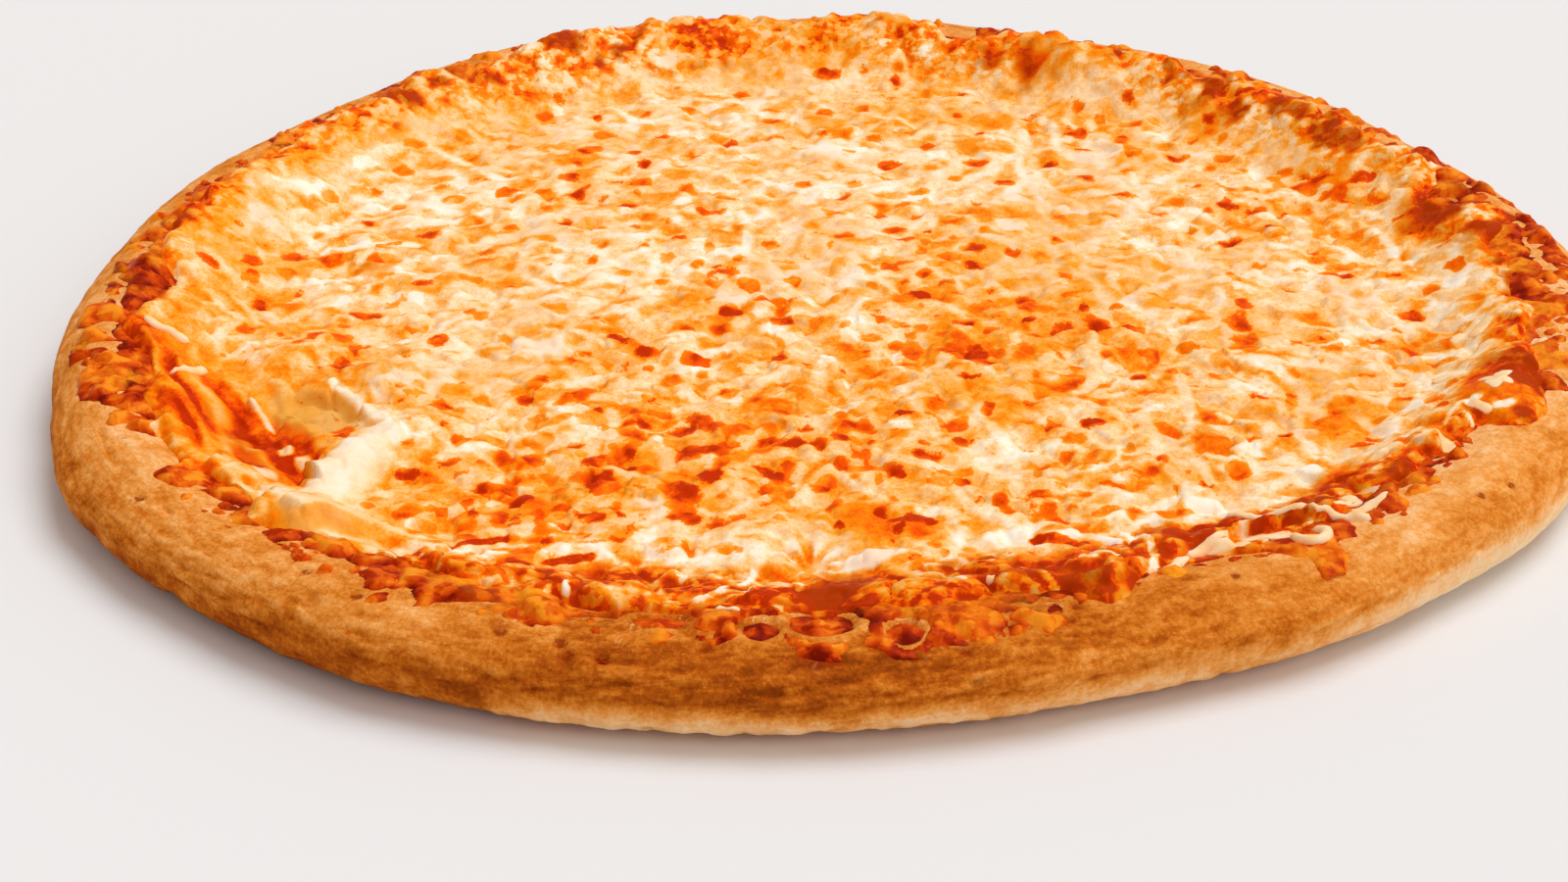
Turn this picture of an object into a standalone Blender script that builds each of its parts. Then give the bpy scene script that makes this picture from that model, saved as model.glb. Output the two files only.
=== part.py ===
"""A whole cheese pizza, 36 cm across, in three solids that lie on each other.

The crust is one piece of risen dough: a flat round base with a puffed rim.
The sauce is a thin layer spread over the base and up onto the rim.
The cheese is the melted layer on the sauce, with its lumps, its torn hole and
the shreds that still show fused to it.
Everything is in metres, +Z is up and the side that faces the viewer is -Y.
"""

import math
import random

import bmesh
import bpy
from mathutils import Vector
from mathutils.bvhtree import BVHTree

MM = 0.001

# The outline, seen from above.
RADIUS = 178.0 * MM
OUTLINE_WAVES = (
    (2, 0.0194, 124.5),
    (3, 0.0248, -46.6),
    (7, 0.0022, 40.0),
    (11, 0.0015, 150.0),
    (17, 0.0010, 75.0),
)
OUTLINE_MIDDLE = Vector((3.0 * MM, 2.45 * MM))

# The section of the rim.
BASE_HEIGHT = 7.0 * MM
BULGE_HEIGHT = 9.2 * MM
CREST_HEIGHT = 18.8 * MM
CREST_INSET = 13.0 * MM
FOOT_INSET = 14.0 * MM
FOOT_ROUNDNESS = 2.6
SLOPE_WIDTH = 32.0 * MM
CREST_WAVES = (
    (1, 1.5 * MM, 95.0),
    (2, 0.4 * MM, 20.0),
    (5, 0.5 * MM, 210.0),
    (9, 0.4 * MM, 15.0),
    (14, 0.3 * MM, 130.0),
)

# Soft dents and blisters of the rim: angle, inset, reach and height of each.
RIM_SPOTS = (
    (201.0, 7.0 * MM, 11.0 * MM, -1.3 * MM),
    (212.0, 5.0 * MM, 9.0 * MM, 0.9 * MM),
    (229.0, 8.0 * MM, 14.0 * MM, -1.0 * MM),
    (243.0, 6.0 * MM, 10.0 * MM, 1.1 * MM),
    (256.0, 7.0 * MM, 8.0 * MM, -0.9 * MM),
    (268.0, 6.0 * MM, 12.0 * MM, 0.8 * MM),
    (287.0, 7.0 * MM, 9.0 * MM, -0.8 * MM),
    (301.0, 6.0 * MM, 13.0 * MM, 1.0 * MM),
    (322.0, 7.0 * MM, 16.0 * MM, 1.2 * MM),
    (345.0, 6.0 * MM, 12.0 * MM, -0.9 * MM),
)

# How finely the bodies are stepped. All three share the same steps round the
# pizza and the same rings on the slope, so that they lie on each other evenly.
# The steps round it are finest at the torn side and coarsest opposite.
AROUND = 120
FINEST_SIDE = math.radians(245.0)
FINENESS = 0.35
FOOT_STEPS = 3
OUTER_STEPS = 4
SLOPE_STEPS = 3
SLOPE_END = 0.747

# The sauce.
LAYER_GAP = 0.3 * MM
SAUCE_THICKNESS = 1.5 * MM
SAUCE_EDGE = 0.932
SAUCE_EDGE_WAVES = (
    (1, 0.007, 95.0),
    (6, 0.006, 250.0),
    (13, 0.008, 40.0),
    (23, 0.009, 190.0),
    (31, 0.006, 310.0),
)
SAUCE_LIP = 0.012
SAUCE_EDGE_THICKNESS = 0.12 * MM
SAUCE_LIP_THICKNESS = 1.05 * MM
SAUCE_EDGE_LIMITS = (0.902, 0.952)

# The cheese.
CHEESE_THICKNESS = 3.3 * MM
CHEESE_EDGE_THICKNESS = 1.5 * MM
CHEESE_LIP = 0.007
CHEESE_SOFT_EDGE = 0.055
CHEESE_EDGE_RETREAT = 0.056
CHEESE_EDGE_FAR_GAIN = 0.036
CHEESE_EDGE_LEAST = 0.016
CHEESE_EDGE_FAR_CALM = 0.55
CHEESE_EDGE_WAVES = (
    (4, 0.006, 30.0),
    (9, 0.009, 160.0),
    (19, 0.010, 75.0),
    (29, 0.008, 220.0),
)
CHEESE_RINGS = (
    1.0, 0.975, 0.945, 0.91, 0.87, 0.825, 0.775, 0.72, 0.655, 0.585,
    0.505, 0.42, 0.32, 0.20,
)
LEAST_CHEESE = 1.3 * MM
EDGE_RELIEF = 0.4

# Lumps of the melted layer.
LUMP_SEED = 41
LUMP_COUNT = 320
LUMP_REACH = (4.0 * MM, 9.0 * MM)
LUMP_HEIGHT = (-1.0 * MM, 1.4 * MM)
LUMP_LENGTH = 1.6
LUMP_FADE = 6.0
LUMPS_WITHIN = 0.93
LUMPS_FROM = 0.25
LUMPS_FULL = 0.60
MIDDLE_LUMPS = 0.2

# Large forms in the cheese: middle, reach and height or depth of each.
SWELLS = (
    ((-99.0 * MM, -100.0 * MM), 11.0 * MM, 7.5 * MM),
    ((-92.0 * MM, -80.0 * MM), 10.0 * MM, 5.0 * MM),
    ((-98.0 * MM, -58.0 * MM), 11.0 * MM, 4.5 * MM),
    ((-122.0 * MM, -46.0 * MM), 12.0 * MM, 3.5 * MM),
    ((-134.0 * MM, -84.0 * MM), 10.0 * MM, 3.5 * MM),
    ((-120.0 * MM, -104.0 * MM), 9.0 * MM, 2.5 * MM),
    ((-113.0 * MM, 11.3 * MM), 10.0 * MM, 1.8 * MM),
    ((59.0 * MM, 136.3 * MM), 13.0 * MM, 4.6 * MM),
    ((71.0 * MM, 123.3 * MM), 11.0 * MM, 2.6 * MM),
    ((137.0 * MM, -68.7 * MM), 9.0 * MM, 3.0 * MM),
    ((-157.0 * MM, -16.7 * MM), 9.0 * MM, 2.4 * MM),
    ((7.0 * MM, -124.7 * MM), 8.0 * MM, 2.4 * MM),
    ((-19.0 * MM, -124.7 * MM), 8.0 * MM, 2.0 * MM),
    ((43.0 * MM, -124.7 * MM), 6.0 * MM, 2.4 * MM),
)
HOLLOWS = (
    ((-115.0 * MM, -82.7 * MM), 8.5 * MM, 14.0 * MM),
    ((-112.0 * MM, -64.0 * MM), 9.0 * MM, 5.5 * MM),
    ((-6.0 * MM, -128.7 * MM), 5.0 * MM, 3.0 * MM),
    ((44.0 * MM, 134.3 * MM), 6.0 * MM, 3.0 * MM),
)

# The shreds that still show on the cheese.
SHRED_SEED = 7
SHRED_COUNT = 62
SHRED_LENGTH = (13.0 * MM, 24.0 * MM)
SHRED_WIDTH = (2.6 * MM, 3.6 * MM)
SHRED_PROUD = 1.1 * MM
SHRED_SUNK = 1.5 * MM
SHRED_FLOOR = 0.5 * MM
SHRED_TOP_SHARE = 0.55
SHRED_BEND = 1.1
SHRED_END_TAPER = 0.55
SHRED_END_POWER = 4
SHREDS_WITHIN = 0.92
SHRED_CUTS = 3
SHRED_CLEARANCE = 4.5 * MM
SHRED_EDGE_CLEARANCE = 5.0 * MM
SHRED_TRIES = 6000

# Colours and finishes.
CRUST_COLOR = (0.66, 0.37, 0.15, 1.0)
SAUCE_COLOR = (0.62, 0.10, 0.015, 1.0)
CHEESE_COLOR = (0.90, 0.62, 0.30, 1.0)
CRUST_ROUGHNESS = 0.62
SAUCE_ROUGHNESS = 0.30
CHEESE_ROUGHNESS = 0.38


def clear_scene():
    for item in list(bpy.data.objects):
        bpy.data.objects.remove(item, do_unlink=True)


def new_collection(name):
    collection = bpy.data.collections.new(name)
    bpy.context.scene.collection.children.link(collection)
    return collection


def new_material(name, color, roughness):
    material = bpy.data.materials.new(name)
    material.use_nodes = True
    shader = material.node_tree.nodes["Principled BSDF"]
    shader.inputs["Base Color"].default_value = color
    shader.inputs["Roughness"].default_value = roughness
    return material


def waves(table, angle):
    """The sum of cosines: how many round the circle, how high, and the angle of a crest in degrees."""
    total = 0.0
    for number, height, crest_at in table:
        total += height * math.cos(number * angle - math.radians(crest_at))
    return total


def outline(angle):
    return RADIUS * (1.0 + waves(OUTLINE_WAVES, angle))


def place(share, angle):
    """The spot at a share of the way out to the outline."""
    reach = share * outline(angle)
    x = reach * math.cos(angle) - OUTLINE_MIDDLE.x
    y = reach * math.sin(angle) - OUTLINE_MIDDLE.y
    return x, y


def find(x, y):
    """The share and angle of a spot."""
    x += OUTLINE_MIDDLE.x
    y += OUTLINE_MIDDLE.y
    angle = math.atan2(y, x)
    return math.hypot(x, y) / outline(angle), angle


def crest(angle):
    return CREST_HEIGHT + waves(CREST_WAVES, angle)


def crust_top(share, angle):
    """The height of the dough's upper side."""
    inset = (1.0 - share) * outline(angle)
    top = crest(angle)
    if inset < CREST_INSET:
        across = (CREST_INSET - inset) / CREST_INSET
        return BULGE_HEIGHT + (top - BULGE_HEIGHT) * math.sqrt(max(0.0, 1.0 - across * across))
    if inset < CREST_INSET + SLOPE_WIDTH:
        along = (inset - CREST_INSET) / SLOPE_WIDTH
        return BASE_HEIGHT + (top - BASE_HEIGHT) * 0.5 * (1.0 + math.cos(math.pi * along))
    return BASE_HEIGHT


def spot_height(x, y, middle, reach, height):
    """A round swell that fades out softly."""
    squared = ((x - middle[0]) ** 2 + (y - middle[1]) ** 2) / (reach * reach)
    return height * math.exp(-squared)


def sauce_edge(angle):
    edge = SAUCE_EDGE + waves(SAUCE_EDGE_WAVES, angle)
    return min(max(edge, SAUCE_EDGE_LIMITS[0]), SAUCE_EDGE_LIMITS[1])


def cheese_edge(angle):
    """The cheese ends well inside the sauce at the near side and close to its edge at the far side."""
    far = 0.5 + 0.5 * math.sin(angle)
    retreat = CHEESE_EDGE_RETREAT - CHEESE_EDGE_FAR_GAIN * far
    jagged = waves(CHEESE_EDGE_WAVES, angle) * (1.0 - CHEESE_EDGE_FAR_CALM * far)
    return sauce_edge(angle) - max(CHEESE_EDGE_LEAST, retreat - jagged)


def slope_shares(angle):
    """The rings from the cheese's edge down to the flat base."""
    top = cheese_edge(angle)
    return [top + (SLOPE_END - top) * step / SLOPE_STEPS for step in range(SLOPE_STEPS + 1)]


def crust_rings(angle):
    """The section of the dough as share and height, from the middle of the underside to that of the top."""
    reach = outline(angle)
    rings = [(0.0, 0.0)]
    power = 2.0 / FOOT_ROUNDNESS
    for step in range(FOOT_STEPS + 1):
        turn = math.radians(90.0 * step / FOOT_STEPS)
        inset = FOOT_INSET * (1.0 - math.sin(turn) ** power)
        rings.append((1.0 - inset / reach, BULGE_HEIGHT * (1.0 - math.cos(turn) ** power)))
    for step in range(1, OUTER_STEPS + 1):
        turn = math.radians(90.0 * step / OUTER_STEPS)
        share = 1.0 - (1.0 - sauce_edge(angle)) * (1.0 - math.cos(turn))
        rings.append((share, crust_top(share, angle)))
    rings += [(share, crust_top(share, angle)) for share in slope_shares(angle)]
    rings.append((0.0, BASE_HEIGHT))
    return rings


def crowd(angle):
    """Moves even steps closer together at the finest side."""
    return angle - FINENESS * math.sin(angle - FINEST_SIDE)


def turned_body(rings_at):
    """Spins a line about Z into a closed grid, then sets every ring to its share and height.

    Every quad is split along its shorter diagonal, so that two layers split alike.
    """
    shape = bmesh.new()
    last = len(rings_at(0.0)) - 1
    line = [shape.verts.new((0.0 if ring in (0, last) else 1.0, 0.0, ring)) for ring in range(last + 1)]
    edges = [shape.edges.new(pair) for pair in zip(line, line[1:])]
    bmesh.ops.spin(
        shape,
        geom=line + edges,
        cent=(0.0, 0.0, 0.0),
        axis=(0.0, 0.0, 1.0),
        dvec=(0.0, 0.0, 0.0),
        angle=math.tau,
        steps=AROUND,
        use_merge=True,
        use_duplicate=False,
    )
    bmesh.ops.remove_doubles(shape, verts=shape.verts[:], dist=1e-6)
    sections = {}
    for vertex in shape.verts:
        angle = 0.0
        ring = round(vertex.co.z)
        if ring not in (0, last):
            angle = crowd(math.atan2(vertex.co.y, vertex.co.x))
        key = round(angle, 5)
        if key not in sections:
            sections[key] = rings_at(angle)
        share, height = sections[key][ring]
        x, y = place(share, angle)
        vertex.co = Vector((x, y, height))
    bmesh.ops.triangulate(shape, faces=shape.faces[:], quad_method="SHORT_EDGE")
    bmesh.ops.recalc_face_normals(shape, faces=shape.faces[:])
    return shape


def finish_object(shape, name, material, collection):
    mesh = bpy.data.meshes.new(name)
    shape.to_mesh(mesh)
    shape.free()
    mesh.materials.append(material)
    made = bpy.data.objects.new(name, mesh)
    collection.objects.link(made)
    return made


def push_rim(spot):
    """Moves a vertex of the rim in or out by the dents and blisters near it."""
    share, angle = find(spot.x, spot.y)
    inset = (1.0 - share) * outline(angle)
    outward = max(0.0, 1.0 - inset / CREST_INSET) ** 2
    raised = min(1.0, spot.z / BULGE_HEIGHT)
    push = 0.0
    for at, spot_inset, reach, rise in RIM_SPOTS:
        middle = place(1.0 - spot_inset / RADIUS, math.radians(at))
        push += spot_height(spot.x, spot.y, middle, reach, rise)
    push *= outward * raised
    return Vector((spot.x + push * math.cos(angle), spot.y + push * math.sin(angle), spot.z))


def make_crust(collection):
    shape = turned_body(crust_rings)
    for vertex in shape.verts:
        vertex.co = push_rim(vertex.co)
    material = new_material("crust", CRUST_COLOR, CRUST_ROUGHNESS)
    return finish_object(shape, "crust", material, collection)


def sauce_under(share, angle):
    return crust_top(share, angle) + LAYER_GAP


def sauce_top(share, angle):
    return sauce_under(share, angle) + SAUCE_THICKNESS


def sauce_rings(angle):
    edge = sauce_edge(angle)
    slope = slope_shares(angle)
    rings = [(0.0, BASE_HEIGHT + LAYER_GAP)]
    rings += [(share, sauce_under(share, angle)) for share in reversed(slope)]
    rings.append((edge, sauce_under(edge, angle) + SAUCE_EDGE_THICKNESS))
    lip = edge - SAUCE_LIP
    rings.append((lip, sauce_under(lip, angle) + SAUCE_LIP_THICKNESS))
    rings += [(share, sauce_top(share, angle)) for share in slope]
    rings.append((0.0, BASE_HEIGHT + LAYER_GAP + SAUCE_THICKNESS))
    return rings


def make_sauce(collection):
    material = new_material("sauce", SAUCE_COLOR, SAUCE_ROUGHNESS)
    return finish_object(turned_body(sauce_rings), "sauce", material, collection)


def draw_lumps():
    """Long soft lumps at seeded places: middle, direction, reach and height."""
    draw = random.Random(LUMP_SEED)
    lumps = []
    for _ in range(LUMP_COUNT):
        share = math.sqrt(draw.random())
        angle = draw.uniform(0.0, math.tau)
        x, y = place(share * LUMPS_WITHIN, angle)
        turn = draw.uniform(0.0, math.pi)
        reach = draw.uniform(*LUMP_REACH)
        height = draw.uniform(*LUMP_HEIGHT)
        lumps.append((x, y, math.cos(turn), math.sin(turn), reach, height))
    return lumps


def lump_height(x, y, lumps):
    total = 0.0
    for at_x, at_y, turn_x, turn_y, reach, height in lumps:
        along = ((x - at_x) * turn_x + (y - at_y) * turn_y) / (LUMP_LENGTH * reach)
        across = ((y - at_y) * turn_x - (x - at_x) * turn_y) / reach
        squared = along * along + across * across
        if squared < LUMP_FADE:
            total += height * math.exp(-squared)
    return total


def cheese_under(share, angle):
    return sauce_top(share, angle) + LAYER_GAP


def cheese_top(share, angle, lumps):
    """The height of the melted surface."""
    x, y = place(share, angle)
    inside = max(0.0, 1.0 - share / cheese_edge(angle))
    full = math.sqrt(min(1.0, inside / CHEESE_SOFT_EDGE))
    thickness = CHEESE_EDGE_THICKNESS + (CHEESE_THICKNESS - CHEESE_EDGE_THICKNESS) * full
    known = min(1.0, max(0.0, (share - LUMPS_FROM) / (LUMPS_FULL - LUMPS_FROM)))
    rise = lump_height(x, y, lumps) * (MIDDLE_LUMPS + (1.0 - MIDDLE_LUMPS) * known)
    for middle, reach, height in SWELLS:
        rise += spot_height(x, y, middle, reach, height)
    for middle, reach, depth in HOLLOWS:
        rise -= spot_height(x, y, middle, reach, depth)
    thickness = max(LEAST_CHEESE, thickness + rise * (EDGE_RELIEF + (1.0 - EDGE_RELIEF) * full))
    return cheese_under(share, angle) + thickness


def cheese_rings(angle, lumps):
    rings = [(0.0, BASE_HEIGHT + 2.0 * LAYER_GAP + SAUCE_THICKNESS)]
    rings += [(share, cheese_under(share, angle)) for share in reversed(slope_shares(angle))]
    lip = cheese_edge(angle) - CHEESE_LIP
    for ring in CHEESE_RINGS:
        rings.append((lip * ring, cheese_top(lip * ring, angle, lumps)))
    rings.append((0.0, cheese_top(0.0, 0.0, lumps)))
    return rings


def shred_path(x, y, turn, length, bend):
    """The spots of a bent shred's cuts and ends."""
    spots = []
    for step in range(SHRED_CUTS + 2):
        along = (step / (SHRED_CUTS + 1) - 0.5) * length
        swing = turn + bend * along / length
        spots.append((x + along * math.cos(swing), y + along * math.sin(swing)))
    return spots


def clear_of(spots, others, distance):
    for x, y in spots:
        for other_x, other_y in others:
            if math.hypot(x - other_x, y - other_y) < distance:
                return False
    return True


def well_inside(spots):
    for x, y in spots:
        share, angle = find(x, y)
        if share * outline(angle) > cheese_edge(angle) * outline(angle) - SHRED_EDGE_CLEARANCE:
            return False
    return True


def draw_shreds():
    """Seeded shreds that keep clear of each other, more of them toward the edge."""
    draw = random.Random(SHRED_SEED)
    taken = [middle for middle, reach, depth in HOLLOWS]
    shreds = []
    for _ in range(SHRED_TRIES):
        if len(shreds) == SHRED_COUNT:
            break
        share = math.sqrt(draw.random())
        angle = draw.uniform(0.0, math.tau)
        x, y = place(share * SHREDS_WITHIN, angle)
        turn = draw.uniform(0.0, math.pi)
        length = draw.uniform(*SHRED_LENGTH)
        width = draw.uniform(*SHRED_WIDTH)
        bend = draw.uniform(-SHRED_BEND, SHRED_BEND)
        spots = shred_path(x, y, turn, length, bend)
        if well_inside(spots) and clear_of(spots, taken, 2.0 * SHRED_CLEARANCE):
            taken += spots
            shreds.append((x, y, turn, length, width, bend))
    return shreds


def shred_mesh(shred, surface):
    """One shred as a bent bar with a narrower top, laid on the cheese."""
    x, y, turn, length, width, bend = shred
    shape = bmesh.new()
    bmesh.ops.create_cube(shape, size=1.0)
    long_edges = [edge for edge in shape.edges if abs(edge.verts[0].co.x - edge.verts[1].co.x) > 0.5]
    bmesh.ops.subdivide_edges(shape, edges=long_edges, cuts=SHRED_CUTS)
    for vertex in shape.verts:
        along = vertex.co.x * length
        top = vertex.co.z > 0.0
        ends = 1.0 - SHRED_END_TAPER * (2.0 * abs(vertex.co.x)) ** SHRED_END_POWER
        side = vertex.co.y * width * ends * (SHRED_TOP_SHARE if top else 1.0)
        swing = turn + bend * along / length
        spot_x = x + along * math.cos(swing) - side * math.sin(swing)
        spot_y = y + along * math.sin(swing) + side * math.cos(swing)
        above = surface.ray_cast(Vector((spot_x, spot_y, 1.0)), Vector((0.0, 0.0, -1.0)))[0].z
        under = surface.ray_cast(Vector((spot_x, spot_y, -1.0)), Vector((0.0, 0.0, 1.0)))[0].z
        low = max(under + SHRED_FLOOR, above - SHRED_SUNK)
        vertex.co = Vector((spot_x, spot_y, above + SHRED_PROUD * ends if top else low))
    bmesh.ops.recalc_face_normals(shape, faces=shape.faces[:])
    return shape


def keep_outer_skin(mesh):
    """Fills sealed hollows and drops loose scraps: only the largest connected skin stays."""
    shape = bmesh.new()
    shape.from_mesh(mesh)
    left = set(shape.verts)
    skins = []
    while left:
        skin = set()
        front = [left.pop()]
        while front:
            vertex = front.pop()
            skin.add(vertex)
            for edge in vertex.link_edges:
                other = edge.other_vert(vertex)
                if other in left:
                    left.remove(other)
                    front.append(other)
        skins.append(skin)
    largest = max(skins, key=len)
    loose = [vertex for skin in skins if skin is not largest for vertex in skin]
    bmesh.ops.delete(shape, geom=loose, context="VERTS")
    shape.to_mesh(mesh)
    shape.free()


def fuse(body, collection):
    """One union of the body with every object of a collection, which then goes."""
    join = body.modifiers.new("fuse", "BOOLEAN")
    join.operation = "UNION"
    join.operand_type = "COLLECTION"
    join.collection = collection
    join.solver = "EXACT"
    view = bpy.context.evaluated_depsgraph_get()
    fused = bpy.data.meshes.new_from_object(body.evaluated_get(view))
    body.modifiers.clear()
    keep_outer_skin(fused)
    body.data = fused
    for item in list(collection.objects):
        bpy.data.objects.remove(item, do_unlink=True)
    bpy.data.collections.remove(collection)


def make_cheese(collection):
    lumps = draw_lumps()
    shape = turned_body(lambda angle: cheese_rings(angle, lumps))
    surface = BVHTree.FromBMesh(shape)
    material = new_material("cheese", CHEESE_COLOR, CHEESE_ROUGHNESS)
    body = finish_object(shape, "cheese", material, collection)
    strips = new_collection("shreds")
    for number, shred in enumerate(draw_shreds()):
        finish_object(shred_mesh(shred, surface), f"shred_{number}", material, strips)
    fuse(body, strips)
    return body


def main():
    clear_scene()
    collection = new_collection("pizza")
    make_crust(collection)
    make_sauce(collection)
    make_cheese(collection)


main()
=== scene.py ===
import math

import bmesh
import bpy
import numpy as np
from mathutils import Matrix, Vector


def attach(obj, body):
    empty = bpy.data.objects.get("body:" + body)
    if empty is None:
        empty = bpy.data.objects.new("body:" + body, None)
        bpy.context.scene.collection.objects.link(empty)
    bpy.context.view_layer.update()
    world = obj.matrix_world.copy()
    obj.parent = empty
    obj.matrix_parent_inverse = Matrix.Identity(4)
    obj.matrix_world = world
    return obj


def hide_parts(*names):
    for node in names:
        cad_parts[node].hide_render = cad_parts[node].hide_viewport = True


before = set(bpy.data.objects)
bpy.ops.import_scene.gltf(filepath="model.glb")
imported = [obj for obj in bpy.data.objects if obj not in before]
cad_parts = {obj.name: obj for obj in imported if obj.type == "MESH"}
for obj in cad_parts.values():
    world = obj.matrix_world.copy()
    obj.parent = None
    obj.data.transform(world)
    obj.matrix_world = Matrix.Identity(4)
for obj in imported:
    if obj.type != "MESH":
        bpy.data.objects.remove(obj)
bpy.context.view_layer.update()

# The crust is one piece of wheat dough, stretched by hand into an uneven round
# with a thick edge and baked until the edge puffed up and turned golden. Its
# outer side is creased and pitted, and floury near the foot. Its colour also holds
# painted light and shade: the foot is painted paler at the front and right as painted
# light and darker at the left and along the floor as painted shade, and the creases,
# pits and holes are painted darker as painted shade.
MM = 0.001
RADIUS = 178.0
OUTLINE_WAVES = (
    (2, 0.0194, 124.5),
    (3, 0.0248, -46.6),
    (7, 0.0022, 40.0),
    (11, 0.0015, 150.0),
    (17, 0.0010, 75.0),
)
MIDDLE_X = 3.0
MIDDLE_Y = 2.45
BASE_HEIGHT = 7.0
BULGE_HEIGHT = 9.2
CREST_HEIGHT = 18.8
CREST_INSET = 13.0
FOOT_INSET = 14.0
FOOT_ROUNDNESS = 2.6
SLOPE_WIDTH = 32.0
SLOPE_END = 0.747
CREST_WAVES = ((1, 1.5, 95.0), (2, 0.4, 20.0), (5, 0.5, 210.0), (9, 0.4, 15.0), (14, 0.3, 130.0))
# Swells and dents of the rim: angle, how far in they lie, half width and height.
RIM_SPOTS = (
    (201.0, 7.0, 11.0, -1.3),
    (212.0, 5.0, 9.0, 0.9),
    (229.0, 8.0, 14.0, -1.0),
    (243.0, 6.0, 10.0, 1.1),
    (256.0, 7.0, 8.0, -0.9),
    (268.0, 6.0, 12.0, 0.8),
    (287.0, 7.0, 9.0, -0.8),
    (301.0, 6.0, 13.0, 1.0),
    (322.0, 7.0, 16.0, 1.2),
    (345.0, 6.0, 12.0, -0.9),
)
SAUCE_EDGE = 0.932
SAUCE_EDGE_WAVES = (
    (1, 0.007, 95.0),
    (6, 0.006, 250.0),
    (13, 0.008, 40.0),
    (23, 0.009, 190.0),
    (31, 0.006, 310.0),
)
SAUCE_EDGE_LIMITS = (0.902, 0.952)
# How pale the dough is near the topping, half way down and at the foot, by the angle in degrees.
# The foot column is floury paleness mixed with painted light and shade: painted paler at the
# front and right, where the underside of the bulge is shaded, and darker at the left as painted shade.
CRUST_TONES_AND_LIGHT = (
    (0.0, 0.66, 0.58, 1.30),
    (60.0, 0.62, 0.50, 0.80),
    (150.0, 0.55, 0.42, 0.60),
    (200.0, 0.52, 0.24, 0.20),
    (230.0, 0.56, 0.30, 0.10),
    (248.0, 0.46, 0.16, 0.30),
    (258.0, 0.24, 0.12, 1.10),
    (266.0, 0.12, 0.14, 1.10),
    (283.0, 0.26, 0.16, 0.95),
    (298.0, 0.46, 0.26, 0.90),
    (312.0, 0.58, 0.48, 1.05),
    (326.0, 0.66, 0.62, 1.25),
    (345.0, 0.68, 0.64, 1.30),
    (360.0, 0.66, 0.58, 1.30),
)
# Holes and stains in the dough: middle, half widths and depth. The holes are painted dark inside as painted
# shade; the wide shallow one at the front middle is a stain.
CRUST_PITS = (
    (-50.5, -169.5, 1.3, 1.3, 1.3),
    (-49.3, -172.4, 1.5, 1.4, 1.3),
    (-42.9, -173.0, 1.4, 1.2, 1.3),
    (-61.5, -166.6, 1.2, 1.0, 0.8),
    (-3.9, -173.4, 5.0, 1.7, 0.4),
    (-24.5, -171.0, 1.6, 1.1, 0.5),
    (-138.4, -117.6, 1.6, 1.0, 0.8),
    (-146.4, -95.6, 1.1, 0.9, 0.7),
    (-89.0, -156.0, 1.3, 1.0, 0.8),
    (-100.0, -147.5, 1.4, 0.8, 0.8),
    (124.5, -113.4, 1.0, 1.0, 0.6),
    (131.5, -108.1, 1.0, 1.0, 0.6),
    (73.0, -143.5, 1.0, 1.6, 0.6),
    (22.0, -170.0, 1.3, 0.8, 0.6),
    (33.0, -157.5, 1.3, 1.1, 0.8),
    (36.4, -160.2, 1.1, 0.9, 0.8),
    (38.6, -156.6, 1.4, 1.2, 0.8),
    (41.5, -159.4, 1.0, 0.9, 0.8),
    (42.5, -154.6, 1.2, 1.0, 0.8),
    (37.0, -163.4, 0.9, 0.7, 0.6),
)
# Bubbles that burst at the front and filled with sauce, each in a ring of pale dough:
# middle and half widths.
CAVITIES = (
    (-4.5, -161.6, 6.4, 6.6),
    (-14.6, -164.8, 3.7, 4.4),
    (-33.4, -161.5, 5.6, 4.2),
    (11.3, -164.6, 3.2, 3.8),
)
# Where the topping ends: angle in degrees and share of the outline.
TOPPING_EDGE = (
    (0.0, 0.940),
    (10.0, 0.945),
    (40.0, 0.925),
    (70.0, 0.930),
    (100.0, 0.925),
    (130.0, 0.932),
    (160.0, 0.930),
    (180.0, 0.945),
    (187.0, 0.936),
    (198.0, 0.944),
    (204.0, 0.937),
    (210.0, 0.917),
    (214.0, 0.880),
    (217.0, 0.872),
    (222.0, 0.908),
    (228.0, 0.912),
    (236.0, 0.908),
    (242.5, 0.950),
    (246.5, 0.956),
    (249.5, 0.912),
    (251.0, 0.940),
    (254.5, 0.908),
    (259.0, 0.936),
    (264.0, 0.918),
    (270.0, 0.942),
    (278.0, 0.936),
    (283.0, 0.938),
    (287.5, 0.885),
    (296.0, 0.866),
    (301.0, 0.872),
    (304.5, 0.935),
    (309.0, 0.906),
    (314.0, 0.922),
    (322.0, 0.884),
    (328.0, 0.876),
    (332.0, 0.918),
    (343.0, 0.910),
    (349.0, 0.930),
    (360.0, 0.940),
)
CAVITY_DEPTH = 1.9
CAVITY_RING = 1.22
CAVITY_RING_WIDTH = 1.1
CAVITY_RING_HEIGHT = 0.3
CRUST_FIBRE_LENGTH = 4.0
CRUST_AROUND = 1000
CRUST_BOTTOM_SHARES = (0.35, 0.65, 0.82, 0.88)
CRUST_FOOT_STEPS = 12
CRUST_OUTER_STEPS = 30
CRUST_SLOPE_STEPS = 22
CRUST_MIDDLE_SHARE = 0.4


def waves(table, angle):
    """The sum of cosines: how many round the circle, how high, and the angle of a crest in degrees."""
    total = np.zeros_like(angle)
    for number, height, crest_at in table:
        total = total + height * np.cos(number * angle - math.radians(crest_at))
    return total


def outline(angle):
    """How far out the dough reaches at an angle, in mm."""
    return RADIUS * (1.0 + waves(OUTLINE_WAVES, angle))


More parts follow.
